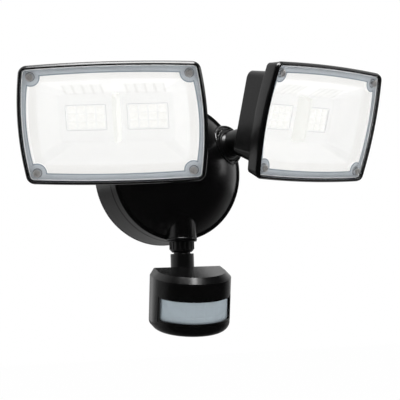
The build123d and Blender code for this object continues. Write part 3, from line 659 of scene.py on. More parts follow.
@dataclass(frozen=True)
class Outline:
    """A four-sided outline with bowed sides and rounded corners, in millimetres.

    A side bows as a parabola: z = crown_z - (crown_z - corner_z) (x / corner_x)^2, and
    likewise for x. Equal crowns and corners make straight sides.
    """

    crown_x: float
    crown_z: float
    corner_x: float
    corner_z: float
    radius: float

    def _outside(self, x: np.ndarray, z: np.ndarray, inset: float) -> np.ndarray:
        """How far points lie outside the outline, negative inside.

        A rounded corner is a box's distance: hypot(a, b) - radius, where a and b are how far
        the point lies past the straight parts of both sides.

        Args:
            x: Distances across, in millimetres.
            z: Distances up, in millimetres.
            inset: How far the outline is drawn in, in millimetres.

        Returns:
            The distances, in millimetres.
        """
        top = self.crown_z - (self.crown_z - self.corner_z) * (x / self.corner_x) ** 2
        end = self.crown_x - (self.crown_x - self.corner_x) * (z / self.corner_z) ** 2
        radius = max(self.radius - inset, 0.2 * self.radius)
        a = np.abs(x) - end + inset + radius
        b = np.abs(z) - top + inset + radius
        corner = np.hypot(np.maximum(a, 0), np.maximum(b, 0))
        return corner + np.minimum(np.maximum(a, b), 0) - radius

    def reach(self, angle: np.ndarray, inset: float) -> np.ndarray:
        """Distance from the centre to the outline along rays, found by halving.

        Args:
            angle: The rays' angles, in radians.
            inset: How far the outline is drawn in, in millimetres.

        Returns:
            The distances, in millimetres.
        """
        low, high = np.zeros(angle.shape), np.full(angle.shape, 2 * self.crown_x + 2 * self.crown_z)
        for _ in range(HALVINGS):
            middle = (low + high) / 2
            out = self._outside(middle * np.cos(angle), middle * np.sin(angle), inset) > 0
            low, high = np.where(out, low, middle), np.where(out, middle, high)
        return (low + high) / 2

    def angles(self, count: int) -> np.ndarray:
        """Ray angles spread over length and turning alike, so that corners get their share.

        Args:
            count: How many rays.

        Returns:
            The angles, in radians.
        """
        angle = np.linspace(0, 2 * np.pi, 2881)
        reach = self.reach(angle, 0.0)
        step = np.diff(np.stack([reach * np.cos(angle), reach * np.sin(angle)], -1), axis=0)
        length = np.linalg.norm(step, axis=1)
        heading = np.unwrap(np.arctan2(step[:, 1], step[:, 0]))
        turn = np.abs(np.diff(heading, append=heading[-1]))
        run = np.concatenate([[0], np.cumsum(length / length.sum() + turn / turn.sum())])
        return np.interp(np.linspace(0, run[-1], count, endpoint=False), run, angle)


@dataclass(frozen=True)
class Eared:
    """An outline whose four corners are bitten by round ears, in millimetres.

    A ray ends at the outline or where it first meets an ear's circle, whichever is nearer.
    """

    outline: Outline
    ear_x: float
    ear_z: float
    ear_radius: float

    def reach(self, angle: np.ndarray, inset: float) -> np.ndarray:
        """Distance from the centre to the bitten edge, drawn in by inset.

        A ray meets an ear's circle of radius r at t = m - sqrt(r^2 - d^2), where m is how far
        along the ray the ear's centre lies, and d how far it lies beside it.

        Args:
            angle: The rays' angles, in radians.
            inset: How far the edge is drawn in, in millimetres.

        Returns:
            The distances, in millimetres.
        """
        plain = self.outline.reach(angle, inset)
        along = np.abs(np.cos(angle)) * self.ear_x + np.abs(np.sin(angle)) * self.ear_z
        off = self.ear_x**2 + self.ear_z**2 - along**2
        room = (self.ear_radius + inset) ** 2 - off
        near = along - np.sqrt(np.maximum(room, 0))
        return np.where(room > 0, np.minimum(plain, near), plain)


@dataclass(frozen=True)
class Round:
    """A circle, with rounded ribs if it has any, in millimetres.

    The edge lies at radius + height (cos(ribs angle) - 1) / 2.
    """

    radius: float
    ribs: int = 0
    height: float = 0.0

    def reach(self, angle: np.ndarray, inset: float) -> np.ndarray:
        """Distance from the centre to the edge, drawn in by inset."""
        wave = (np.cos(self.ribs * angle) - 1) / 2 * self.height
        return np.maximum(self.radius - inset + wave, 0.0) * np.ones_like(angle)


@dataclass(frozen=True)
class Loop:
    """One corner of a section: an edge drawn in by inset, at a depth, rounded by cut (mm)."""

    shape: Shape
    inset: float
    depth: float | np.ndarray
    cut: float = 0.0


def around(count: int) -> np.ndarray:
    """Even angles once round, in radians."""
    return np.linspace(0, 2 * np.pi, count, endpoint=False)


def turned(*corners: tuple[Any, ...]) -> list[Loop]:
    """The corners of a round section: each one's radius, its depth and, if any, its cut."""
    return [Loop(Round(radius), 0, *rest) for radius, *rest in corners]


def rounded(spots: np.ndarray, cuts: list[float], steps: int = 5) -> np.ndarray:
    """Rounds the corners of closed sections, many at once.

    Each corner becomes a quadratic curve that leaves one side and meets the other at the
    cut's distance from the corner: (1-t)^2 A + 2 t (1-t) corner + t^2 B. A cut takes at most
    0.48 of a side.

    Args:
        spots: Corners by section: corner, section, two coordinates.
        cuts: Each corner's cut. Zero keeps the corner.
        steps: Points of each curve.

    Returns:
        The sections' points: point, section, two coordinates.
    """
    before, after = np.roll(spots, 1, 0) - spots, np.roll(spots, -1, 0) - spots
    back, ahead = (np.linalg.norm(way, axis=-1, keepdims=True) for way in (before, after))
    cut = np.array(cuts, float)[:, None, None]
    cut = np.minimum(cut, 0.48 * np.minimum(back, ahead))
    start = spots + before / np.maximum(back, 1e-9) * cut
    end = spots + after / np.maximum(ahead, 1e-9) * cut
    rows = []
    for place, amount in enumerate(cuts):
        t = np.linspace(0, 1, steps)[:, None, None] if amount else np.array([[[0.5]]])
        sides = (1 - t) ** 2 * start[place] + t**2 * end[place]
        rows.append(sides + 2 * t * (1 - t) * spots[place])
    return np.concatenate(rows)


def grid_faces(rows: int, columns: int, round_rows: bool, round_columns: bool) -> np.ndarray:
    """Faces of a grid of points.

    Args:
        rows: How many rows of points.
        columns: How many points in a row.
        round_rows: Whether the last row joins the first.
        round_columns: Whether each row's last point joins its first.

    Returns:
        Corner numbers, one row per face.
    """
    i, j = np.meshgrid(
        np.arange(rows if round_rows else rows - 1),
        np.arange(columns if round_columns else columns - 1),
        indexing="ij",
    )
    near, far = i * columns, (i + 1) % rows * columns
    left, right = j, (j + 1) % columns
    return np.stack([near + left, near + right, far + right, far + left], -1).reshape(-1, 4)


def lathe(place: Place, loops: list[Loop], angle: np.ndarray | None = None, steps: int = 5) -> np.ndarray:
    """Carries a closed section with rounded corners round its centre.

    Args:
        place: Its local axes.
        loops: The section's corners, in order.
        angle: The rays' angles, in radians, or none for 144 even ones.
        steps: Points of each rounded corner.

    Returns:
        World points: section point, ray, three coordinates.
    """
    if angle is None:
        angle = around(144)
    reach = np.array([loop.shape.reach(angle, loop.inset) for loop in loops])
    depth = np.array([np.broadcast_to(loop.depth, angle.shape) for loop in loops])
    lines = rounded(np.stack([reach, depth], -1), [loop.cut for loop in loops], steps) * MM
    return place.at(lines[..., 0] * np.cos(angle), lines[..., 0] * np.sin(angle), lines[..., 1])


@dataclass(frozen=True)
class PanScrew:
    """A pan-head screw with a cross recess, in millimetres."""

    head: float
    crown: float
    shank: float
    length: float

    def grid(self, spot: Place) -> np.ndarray:
        """The screw's surface.

        The head's height over its seat is crown sqrt(1 - 0.8 (r / head)^2), less a cross whose
        depth fades at the arms' ends and sides.

        Args:
            spot: Its axes at the seat, which face the way the head does.

        Returns:
            World points: ring, ray, three coordinates.
        """
        angle = around(64)
        radius = np.linspace(0, self.head, 22)[:, None] * np.ones_like(angle)
        x, z = radius * np.cos(angle), radius * np.sin(angle)
        arm, half = 0.62 * self.head, 0.17 * self.head
        cross = []
        for side, along in ((x, z), (z, x)):
            flank = np.clip((half - np.abs(side)) / half * 2, 0, 1)
            cross.append(flank * np.clip((arm - np.abs(along)) / arm * 4, 0, 1))
        dome = self.crown * np.sqrt(1 - 0.8 * (radius / self.head) ** 2)
        height = dome - 0.6 * self.crown * np.maximum(*cross)
        rings = [spot.at(x * MM, z * MM, -height * MM)]
        shank = [(self.head, 0.0), (self.shank, 0.0), (self.shank, -self.length), (0.0, -self.length)]
        for far, high in shank:
            ring = spot.at(far * MM * np.cos(angle), far * MM * np.sin(angle), -high * MM)
            rings.append(ring[None])
        return np.concatenate(rings)


@dataclass
class Workshop:
    """Makes pieces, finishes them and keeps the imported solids."""

    nodes: dict[str, Any]
    made: dict[str, Any] = field(default_factory=dict)

    def material(self, recipe: Finish) -> Any:
        """The material of a finish, built the first time it is asked for."""
        if recipe.name not in self.made:
            self.made[recipe.name] = recipe.make()
        return self.made[recipe.name]

    def dress(self, recipe: Finish, *names: str) -> None:
        """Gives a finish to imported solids.

        Args:
            recipe: The finish.
            names: The solids' names.
        """
        for name in names:
            mesh = self.nodes[name].data
            mesh.materials.clear()
            mesh.materials.append(self.material(recipe))
            log.info("%s dressed in %s", name, recipe.name)

    def add(
        self,
        name: str,
        grids: list[np.ndarray],
        recipe: Finish,
        body: str,
        slot: str,
        stands_for: tuple[str, ...] = (),
        open_rows: bool = False,
    ) -> Any:
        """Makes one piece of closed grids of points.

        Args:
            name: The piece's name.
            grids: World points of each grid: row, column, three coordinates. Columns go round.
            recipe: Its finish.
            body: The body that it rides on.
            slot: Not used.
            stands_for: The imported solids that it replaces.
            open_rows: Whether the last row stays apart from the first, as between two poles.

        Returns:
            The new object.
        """
        points, faces, used = [], [], 0
        for grid in grids:
            rows, columns = grid.shape[:2]
            points.append(grid.reshape(-1, 3))
            faces.append(grid_faces(rows, columns, not open_rows, True) + used)
            used += rows * columns
        mesh = bpy.data.meshes.new(name)
        mesh.from_pydata(np.concatenate(points).tolist(), [], np.concatenate(faces).tolist())
        work = bmesh.new()
        work.from_mesh(mesh)
        bmesh.ops.remove_doubles(work, verts=work.verts, dist=1e-6)
        bmesh.ops.dissolve_degenerate(work, edges=work.edges, dist=1e-7)
        bmesh.ops.recalc_face_normals(work, faces=work.faces)
        work.to_mesh(mesh)
        work.free()
        return self.register(name, mesh, recipe, body, stands_for)

    def register(
        self,
        name: str,
        mesh: Any,
        recipe: Finish,
        body: str,
        stands_for: tuple[str, ...] = (),
    ) -> Any:
        """Turns a mesh into a piece that rides on a body.

        Args:
            name: The piece's name.
            mesh: Its mesh, in place.
            recipe: Its finish.
            body: The body that it rides on.
            stands_for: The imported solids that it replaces.

        Returns:
            The new object.
        """
        mesh.materials.clear()
        mesh.materials.append(self.material(recipe))
        mesh.polygons.foreach_set("use_smooth", np.ones(len(mesh.polygons), bool))
        made = bpy.data.objects.new(name, mesh)
        bpy.context.scene.collection.objects.link(made)
        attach(made, body)
        if stands_for:
            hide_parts(*stands_for)
        log.info("%s: %d faces, rides on %s", name, len(mesh.polygons), body)
        return made

    def soften(
        self,
        node: str,
        recipe: Finish,
        body: str,
        width: float = 0.3 * MM,
        settle: Callable[[np.ndarray], np.ndarray] | None = None,
    ) -> Any:
        """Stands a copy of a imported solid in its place, with its sharp edges rounded.

        Args:
            node: The solid's name.
            recipe: Its finish.
            body: The body that it rides on.
            width: How wide the rounding is, in metres.
            settle: Moves the copy's points before its edges are rounded, if given.

        Returns:
            The new object.
        """
        copy = self.nodes[node].data.copy()
        if settle is not None:
            spots = np.empty(len(copy.vertices) * 3)
            copy.vertices.foreach_get("co", spots)
            copy.vertices.foreach_set("co", settle(spots.reshape(-1, 3)).ravel())
        work = bmesh.new()
        work.from_mesh(copy)
        bpy.data.meshes.remove(copy)
        bmesh.ops.remove_doubles(work, verts=work.verts, dist=WELD)
        bmesh.ops.dissolve_limit(work, angle_limit=FLAT, verts=work.verts, edges=work.edges)
        mesh = bpy.data.meshes.new(f"{node}_moulding")
        work.to_mesh(mesh)
        work.free()
        made = self.register(f"{node}_moulding", mesh, recipe, body, (node,))
        bevel = made.modifiers.new("edges", "BEVEL")
        bevel.width = width
        bevel.segments = 2
        bevel.limit_method = "ANGLE"
        bevel.angle_limit = SHARP
        bevel.use_clamp_overlap = True
        normals = made.modifiers.new("normals", "WEIGHTED_NORMAL")
        normals.weight = 80
        return made


# ------------------------------------------------------------------ the base and its joints
@dataclass(frozen=True)
class BallJoint:
    """Where a lamp head's ball sits in the dome, in millimetres and degrees."""

    side: Side
    x: float = 41.8
    y: float = -41.7
    z: float = 21.6
    pitch: float = 8.0
    boss_yaw: float = 20.0

    def axes(self, yaw: float, roll: float = 0.0) -> Place:
        """Axes at the ball's centre, turned by a yaw and a roll."""
        centre = Vector((self.side.sign * self.x, self.y, self.z)) * MM
        return Place.facing(centre, yaw, self.pitch, roll)


@dataclass
class Base:
    """The round base: moulded solids, rims round its bosses and its hidden hardware (mm)."""

    dome_radius: float = 67.62
    dome_centre: float = -2.62
    dome_wall: float = 3.0
    post_ring: float = 46.0
    post_sink: float = 1.0
    screw_angles: tuple[float, ...] = (90.0, 205.0, 335.0)
    screw_seat: float = 4.9
    housing_screw: PanScrew = PanScrew(3.2, 1.6, 1.7, 21.0)
    boss_face: float = 3.4
    rim_inner: float = 15.25
    rim_outer: float = 17.6
    rim_rise: float = 1.25
    rim_cut: float = 0.9
    rim_fall: float = 1.5
    rim_foot: float = 2.0
    ring_bore: float = 13.15
    ring_back: float = 3.75
    ring_front: float = 6.4
    ring_groove: float = 5.85
    ring_step: float = 4.9
    ring_edge: Round = Round(14.4, 24, 0.7)
    sensor_axis_depth: float = 40.0
    collar_bore: float = 11.0
    collar_radius: float = 12.9
    collar_top: float = 54.8
    collar_foot: float = 58.75

    def _boss(self, side: Side) -> Place:
        """The boss's axes at its ball's centre."""
        joint = BallJoint(side)
        return joint.axes(side.sign * joint.boss_yaw)

    def _flush_posts(self, spots: np.ndarray) -> np.ndarray:
        """Presses the corners of the screw posts, which come through the dome, back onto it.

        A point p of the posts' top plane that lies outside the dome's sphere, of centre c and
        radius R, goes to c + R (p - c) / |p - c|.

        Args:
            spots: The housing's points, in metres.

        Returns:
            The same points, with those corners moved.
        """
        inside = math.sqrt((self.dome_radius - self.dome_wall) ** 2 - self.post_ring**2)
        top = (inside + self.dome_centre + self.post_sink) * MM
        middle = np.array([0.0, -self.dome_centre, 0.0]) * MM
        off = spots - middle
        far = np.linalg.norm(off, axis=-1)
        proud = (np.abs(spots[:, 1] + top) < 0.05 * MM) & (far > self.dome_radius * MM)
        settled = spots.copy()
        settled[proud] = middle + off[proud] * (self.dome_radius * MM / far[proud])[:, None]
        return settled

    def _dome_height(self, boss: Place, radius: float, angle: np.ndarray) -> np.ndarray:
        """How far in front of the boss's plane the dome lies, in millimetres.

        A line along the boss's axis from a point p meets the dome's sphere, of centre c, at
        h = sqrt(R^2 - |p - c|^2 + (a . (p - c))^2) - a . (p - c), where a is the axis.

        Args:
            boss: The boss's axes.
            radius: The distance of the lines from the axis, in millimetres.
            angle: Their angles round the axis, in radians.

        Returns:
            The heights, one for each angle.
        """
        spots = boss.at(radius * MM * np.cos(angle), radius * MM * np.sin(angle), 0.0) / MM
        off = spots - np.array([0.0, -self.dome_centre, 0.0])
        along = off @ np.array(boss.out)
        return np.sqrt(self.dome_radius**2 - (off**2).sum(-1) + along**2) - along

    def _rim(self, shop: Workshop, side: Side) -> None:
        """Makes the rounded rim round a boss's groove, which follows the dome where it is higher.

        Args:
            shop: Where pieces are made.
            side: Which boss.
        """
        boss, angle = self._boss(side), around(180)
        inner = self._dome_height(boss, self.rim_inner, angle)
        outer = self._dome_height(boss, self.rim_outer, angle)
        inside = np.maximum(inner, self.boss_face)
        outside = np.minimum(np.maximum(outer, self.boss_face - self.rim_fall), inside)
        crest = np.maximum(inside, outside) + self.rim_rise
        section = turned(
            (self.rim_inner, 0.5 - self.boss_face),
            (self.rim_inner, -crest, self.rim_cut),
            (self.rim_outer - self.rim_cut, -crest + 0.2, 1.1),
            (self.rim_outer, -outside + 0.6),
            (self.rim_outer - 0.6, self.rim_foot - outside),
        )
        grid = lathe(boss, section, angle)
        shop.add(f"{side.value}_boss_rim", [grid], BODY, "base", "body_black")

    def _lock_ring(self, shop: Workshop, side: Side) -> None:
        """Makes a boss's ribbed lock ring, with a lip at its edge and one round the ball.

        Args:
            shop: Where pieces are made.
            side: Which boss.
        """
        name = side.value
        section = [
            *turned((self.ring_bore, -self.ring_back)),
            Loop(self.ring_edge, 0, -self.ring_back, 0.2),
            Loop(self.ring_edge, 0, -5.7, 0.5),
            *turned(
                (13.4, -self.ring_front, 0.6),
                (12.7, -self.ring_groove, 0.4),
                (11.4, -self.ring_groove, 0.4),
                (10.9, -self.ring_front, 0.4),
                (9.9, -6.2, 0.3),
                (10.6, -self.ring_step),
                (self.ring_bore, -self.ring_step),
            ),
        ]
        grid = lathe(self._boss(side), section, around(360), 4)
        stands_for = (f"{name}_lock_ring",)
        shop.add(f"{name}_ribbed_ring", [grid], JOINT, f"{name}_ring_body", "joint_black", stands_for)

    def _sensor_rim(self, shop: Workshop) -> None:
        """Makes the rounded collar where the sensor's boss meets its lock ring.

        Args:
            shop: Where pieces are made.
        """
        centre = Vector((0.0, -self.sensor_axis_depth, 0.0)) * MM
        down = Place(centre, Vector((1, 0, 0)), Vector((0, 1, 0)), Vector((0, 0, -1)))
        section = turned(
            (self.collar_bore, -self.collar_foot),
            (12.0, -self.collar_foot, 0.5),
            (self.collar_radius, -57.4, 0.8),
            (self.collar_radius, -55.6, 0.6),
            (12.3, -self.collar_top),
            (self.collar_bore, -self.collar_top),
        )
        shop.add("sensor_boss_rim", [lathe(down, section)], BODY, "base", "body_black")

    def _screw_heads(self, shop: Workshop) -> None:
        """Makes the three housing screws, seen in the recess of the back plate.

        Args:
            shop: Where pieces are made.
        """
        into, ring = Place.facing((0, 0, 0), 180.0, 0.0), self.post_ring * MM
        grids = []
        for turn in map(math.radians, self.screw_angles):
            spot = into.moved(-ring * math.cos(turn), ring * math.sin(turn), self.screw_seat * MM)
            grids.append(self.housing_screw.grid(spot))
        shop.add("housing_screws", grids, STEEL, "base", "steel_screw", ("base_screws",))

    def build(self, shop: Workshop) -> None:
        """Makes and dresses all that stays on the wall, and the joints' rings, balls and arms.

        Args:
            shop: Where pieces are made.
        """
        shop.soften("base_housing", BODY, "base", settle=self._flush_posts)
        for node, recipe, slot in (
            ("back_plate", BODY, "body_black"),
            ("mounting_strap", ZINC, "steel_zinc"),
            ("mounting_bolt", STEEL, "steel_screw"),
            ("wall_gasket", FOAM, "wall_foam"),
            ("filter_capacitors", SLEEVE, "capacitor_sleeve"),
            ("switching_relay", RELAY, "relay_case"),
            ("terminal_block", TERMINAL, "terminal_plastic"),
            ("driver_coil", COPPER, "coil_copper"),
        ):
            shop.soften(node, recipe, "base")
        shop.dress(PLUG, "wire_grommet", "bolt_plug")
        shop.dress(GROUND, "ground_screw")
        shop.dress(BOARD, "driver_board")
        self._screw_heads(shop)
        self._sensor_rim(shop)
        for side in Side:
            name = side.value
            self._rim(shop, side)
            self._lock_ring(shop, side)
            shop.dress(JOINT, f"{name}_pivot_ball")
            shop.dress(ZINC, f"{name}_arm_clip")
            shop.soften(f"{name}_arm", JOINT, f"{name}_arm_body", 0.6 * MM)


# ------------------------------------------------------------------ a lamp head
@dataclass
class LampHead:
    """One lamp head: frame, lens with its printed border, lit reflector, chips and screws.

    Angles are degrees. Sizes are millimetres, and depths count back from the front rim.
    """

    side: Side
    yaw: float
    roll: float
    pitch: float
    arm_reach: float = 50.0
    pin_rise: float = 17.0
    pin_depth: float = 52.7
    barrel: Outline = Outline(72.6, 47.7, 68.2, 45.8, 5.6)
    housing: Outline = Outline(64.6, 37.2, 64.6, 37.2, 9.5)
    window: Outline = Outline(65.6, 38.9, 61.2, 37.0, 2.0)
    opening: Outline = Outline(39.5, 9.7, 39.5, 9.7, 0.8)
    strip: Outline = Outline(8.6, 9.9, 8.6, 9.9, 0.3)
    rib: Outline = Outline(3.0, 19.0, 3.0, 19.0, 0.8)
    array: Outline = Outline(15.5, 9.7, 15.5, 9.7, 0.5)
    chip: Outline = Outline(3.05, 2.6, 3.05, 2.6, 0.7)
    lens_screw: PanScrew = PanScrew(2.9, 1.0, 1.6, 10.8)
    frame_depth: float = 14.0
    frame_lip: float = 2.0
    frame_nose: float = 2.6
    frame_taper: float = 3.1
    lens_depth: float = 1.2
    print_depth: float = 3.6
    print_inset: float = 3.2
    print_thickness: float = 0.12
    edge_inset: float = 3.0
    bead_width: float = 0.9
    ear_radius: float = 7.4
    screw_x: float = 60.0
    screw_z: float = 37.1
    # Radii of the painted shade ring round each lens screw.
    shade_ring_inner: float = 2.95
    shade_ring_outer: float = 3.7
    flange_inset: float = 5.8
    flange_front: float = 6.2
    flange_back: float = 7.4
    ledge_inset: float = 8.4
    ledge_depth: float = 4.9
    mouth_inset: float = 14.4
    mouth_depth: float = 8.0
    floor_inset: float = 28.2
    floor_depth: float = 26.8
    back_depth: float = 28.0
    dish_wall: float = 1.0
    rib_height: float = 11.5
    lip_width: float = 0.5
    lip_front: float = 26.5
    chip_front: float = 27.05
    chip_back: float = 28.2
    array_x: float = 24.0
    columns: int = 4
    rows: int = 3
    chip_pitch_x: float = 7.4
    chip_pitch_z: float = 6.1

    @property
    def name(self) -> str:
        """The side's word, which starts every piece's name."""
        return self.side.value

    @property
    def body(self) -> str:
        """The body that the head's pieces ride on."""
        return f"{self.name}_head_body"

    @property
    def face(self) -> Place:
        """The head's axes at the middle of its front rim."""
        joint = BallJoint(self.side)
        arm = joint.axes(self.yaw, self.roll)
        pin = arm.moved(0, 0, -self.arm_reach * MM).nodded(self.pitch - joint.pitch)
        return pin.moved(0, self.pin_rise * MM, -self.pin_depth * MM)

    def _add(
        self, shop: Workshop, part: str, grids: list[np.ndarray], recipe: Finish, slot: str, *nodes: str
    ) -> None:
        """Makes one piece of the head.

        Args:
            shop: Where pieces are made.
            part: The piece's name without its side.
            grids: World points of its closed grids.
            recipe: Its finish.
            slot: The record's slot that its finish belongs to.
            nodes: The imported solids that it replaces, without their side.
        """
        stands_for = tuple(f"{self.name}_{node}" for node in nodes)
        shop.add(f"{self.name}_{part}", grids, recipe, self.body, slot, stands_for)

    def _corners(self, depth: float) -> list[Place]:
        """The axes at the four screws, at a depth in millimetres."""
        return [
            self.face.moved(across * self.screw_x * MM, up * self.screw_z * MM, depth * MM)
            for across in (-1, 1)
            for up in (-1, 1)
        ]

    def _frame(self, shop: Workshop) -> None:
        """Makes the frame: rounded front, sides that draw in, and a lip that meets the rear box.

        Args:
            shop: Where pieces are made.
        """
        lip = self.frame_depth - self.frame_lip
        section = [
            Loop(self.barrel, 1.7, 0.0, 0.5),
            Loop(self.barrel, 0.15, self.frame_nose, 1.2),
            Loop(self.barrel, self.frame_taper, self.frame_depth, 1.3),
            Loop(self.housing, 0.0, self.frame_depth, 0.4),
            Loop(self.housing, 0.0, lip),
            Loop(self.barrel, 5.2, lip),
            Loop(self.barrel, 2.8, 0.0, 0.4),
        ]
        grid = lathe(self.face, section, self.barrel.angles(360))
        self._add(shop, "front_frame", [grid], BODY, "body_black", "bezel")

    def _border(self, shop: Workshop) -> None:
        """Makes the grey border printed on the lens, with its inner bead.

        Args:
            shop: Where pieces are made.
        """
        inner = Eared(self.window, self.screw_x, self.screw_z, self.ear_radius)
        depth, angle = self.print_depth, around(1080)
        face = [
            Loop(self.barrel, self.print_inset, depth),
            Loop(inner, 0.0, depth, 0.05),
            Loop(inner, 0.0, depth + self.print_thickness),
            Loop(self.barrel, self.print_inset, depth + self.print_thickness),
        ]
        self._add(shop, "lens_border", [lathe(self.face, face, angle, 3)], BORDER, "seal_grey")
        bead = [
            Loop(inner, -self.bead_width, depth - 0.1, 0.05),
            Loop(inner, 0.02, depth - 0.1, 0.05),
            Loop(inner, 0.02, depth + 0.1),
            Loop(inner, -self.bead_width, depth + 0.1),
        ]
        self._add(shop, "border_bead", [lathe(self.face, bead, angle, 3)], BORDER_EDGE, "seal_grey")

    def _lens_edge(self, shop: Workshop) -> None:
        """Makes the lens's bright edge, and the painted shade round its screws: a flat dark ring at each.

        Args:
            shop: Where pieces are made.
        """
        depth = self.print_depth
        edge = [
            Loop(self.barrel, self.edge_inset, depth - 0.4, 0.2),
            Loop(self.barrel, 3.95, depth - 0.5, 0.3),
            Loop(self.barrel, 4.1, depth + 0.05),
            Loop(self.barrel, self.edge_inset, depth + 0.05),
        ]
        grid = lathe(self.face, edge, self.barrel.angles(360), 3)
        self._add(shop, "lens_edge", [grid], LENS_EDGE, "lens_clear")
        # Painted shade: a thin flat dark ring round each screw, on the border.
        well = turned(
            (self.shade_ring_inner, -0.02, 0.05),
            (self.shade_ring_outer, -0.02, 0.05),
            (self.shade_ring_outer, 0.15),
            (self.shade_ring_inner, 0.15),
        )
        shade_rings = [lathe(spot, well, around(48), 3) for spot in self._corners(depth - 0.15)]
        self._add(shop, "screw_shade_rings", shade_rings, SCREW_SHADE, "seal_grey")

    def _reflector(self, shop: Workshop) -> None:
        """Makes the lit dish: sloped ledge, deep bowl, floor with one opening, strip and tall rib.

        Args:
            shop: Where pieces are made.
        """
        dish = [
            Loop(self.barrel, self.flange_inset, self.flange_front),
            Loop(self.barrel, self.ledge_inset, self.flange_front),
            Loop(self.barrel, self.ledge_inset, self.ledge_depth, 0.3),
            Loop(self.barrel, self.mouth_inset, self.mouth_depth, 0.9),
            Loop(self.barrel, self.floor_inset, self.floor_depth, 2.2),
            Loop(self.opening, 0.0, self.floor_depth, 0.2),
            Loop(self.opening, 0.0, self.back_depth),
            Loop(self.barrel, self.floor_inset - self.dish_wall, self.back_depth, 1.5),
            Loop(self.barrel, self.mouth_inset - self.dish_wall, self.mouth_depth + self.dish_wall),
            Loop(self.barrel, self.mouth_inset - self.dish_wall, self.flange_back),
            Loop(self.barrel, self.flange_inset, self.flange_back),
        ]
        middle = [
            Loop(Round(0), 0, self.floor_depth),
            Loop(self.strip, 0, self.floor_depth, 0.2),
            Loop(self.strip, 0, self.back_depth),
            Loop(Round(0), 0, self.back_depth),
        ]
        grids = [
            lathe(self.face, dish, self.barrel.angles(360)),
            lathe(self.face, middle, self.strip.angles(96), 3),
        ]
        sizes = (self.mouth_depth * MM, self.array_x * MM, self.chip_pitch_x * MM)
        finish = Dish(f"{self.name}_dish_white", self.face, *sizes)
        self._add(shop, "dish", grids, finish, "reflector_white", "reflector")
        top = self.floor_depth - self.rib_height
        crest = [
            Loop(Round(0), 0, top),
            Loop(self.rib, 1.4, top, 0.8),
            Loop(self.rib, 0, self.floor_depth + 0.1),
            Loop(Round(0), 0, self.floor_depth + 0.1),
        ]
        grid = lathe(self.face, crest, self.rib.angles(160))
        self._add(shop, "dish_rib", [grid], RIB, "reflector_white")

    def _arrays(self, shop: Workshop) -> None:
        """Makes the thin lips round both arrays, and the domed chips.

        Args:
            shop: Where pieces are made.
        """
        lip = [
            Loop(self.array, -self.lip_width, self.floor_depth + 0.05),
            Loop(self.array, -self.lip_width, self.lip_front, 0.12),
            Loop(self.array, 0.0, self.lip_front, 0.12),
            Loop(self.array, 0.0, self.back_depth - 0.1),
        ]
        dome = [
            Loop(Round(0), 0, self.chip_front),
            Loop(Round(1.5), 0, self.chip_front + 0.05),
            Loop(self.chip, 0.5, self.chip_front + 0.4, 0.3),
            Loop(self.chip, 0.0, self.chip_front + 0.7, 0.2),
            Loop(self.chip, 0.0, self.chip_back),
            Loop(Round(0), 0, self.chip_back),
        ]
        lips, chips = [], []
        for across in (-1, 1):
            middle = self.face.moved(across * self.array_x * MM, 0, 0)
            lips.append(lathe(middle, lip, self.array.angles(160), 3))
            for column in range(self.columns):
                for row in range(self.rows):
                    x = (column - (self.columns - 1) / 2) * self.chip_pitch_x * MM
                    z = (row - (self.rows - 1) / 2) * self.chip_pitch_z * MM
                    chips.append(lathe(middle.moved(x, z, 0), dome, around(40), 3))
        self._add(shop, "array_lips", lips, LIP, "reflector_white")
        self._add(shop, "chips", chips, LED, "led_yellow", "led_array")

    def build(self, shop: Workshop) -> None:
        """Makes and dresses the whole head.

        Args:
            shop: Where pieces are made.
        """
        self._frame(shop)
        self._border(shop)
        self._lens_edge(shop)
        self._reflector(shop)
        self._arrays(shop)
        for node, recipe in (("lens", LENS), ("lens_gasket", SEAL_WHITE), ("led_board", BOARD_WHITE)):
            shop.dress(recipe, f"{self.name}_{node}")
        screws = [self.lens_screw.grid(spot) for spot in self._corners(self.lens_depth)]
        self._add(shop, "corner_screws", screws, STEEL, "steel_screw", "lens_screws")
        for node, recipe, slot, width in (
            ("head_housing", BODY, "body_black", 0.45),
            ("rear_screws", STEEL, "steel_screw", 0.2),
            ("knuckle_bolt", STEEL, "steel_screw", 0.25),
            ("knuckle_nut", ZINC, "steel_zinc", 0.25),
        ):
            shop.soften(f"{self.name}_{node}", recipe, self.body, width * MM)


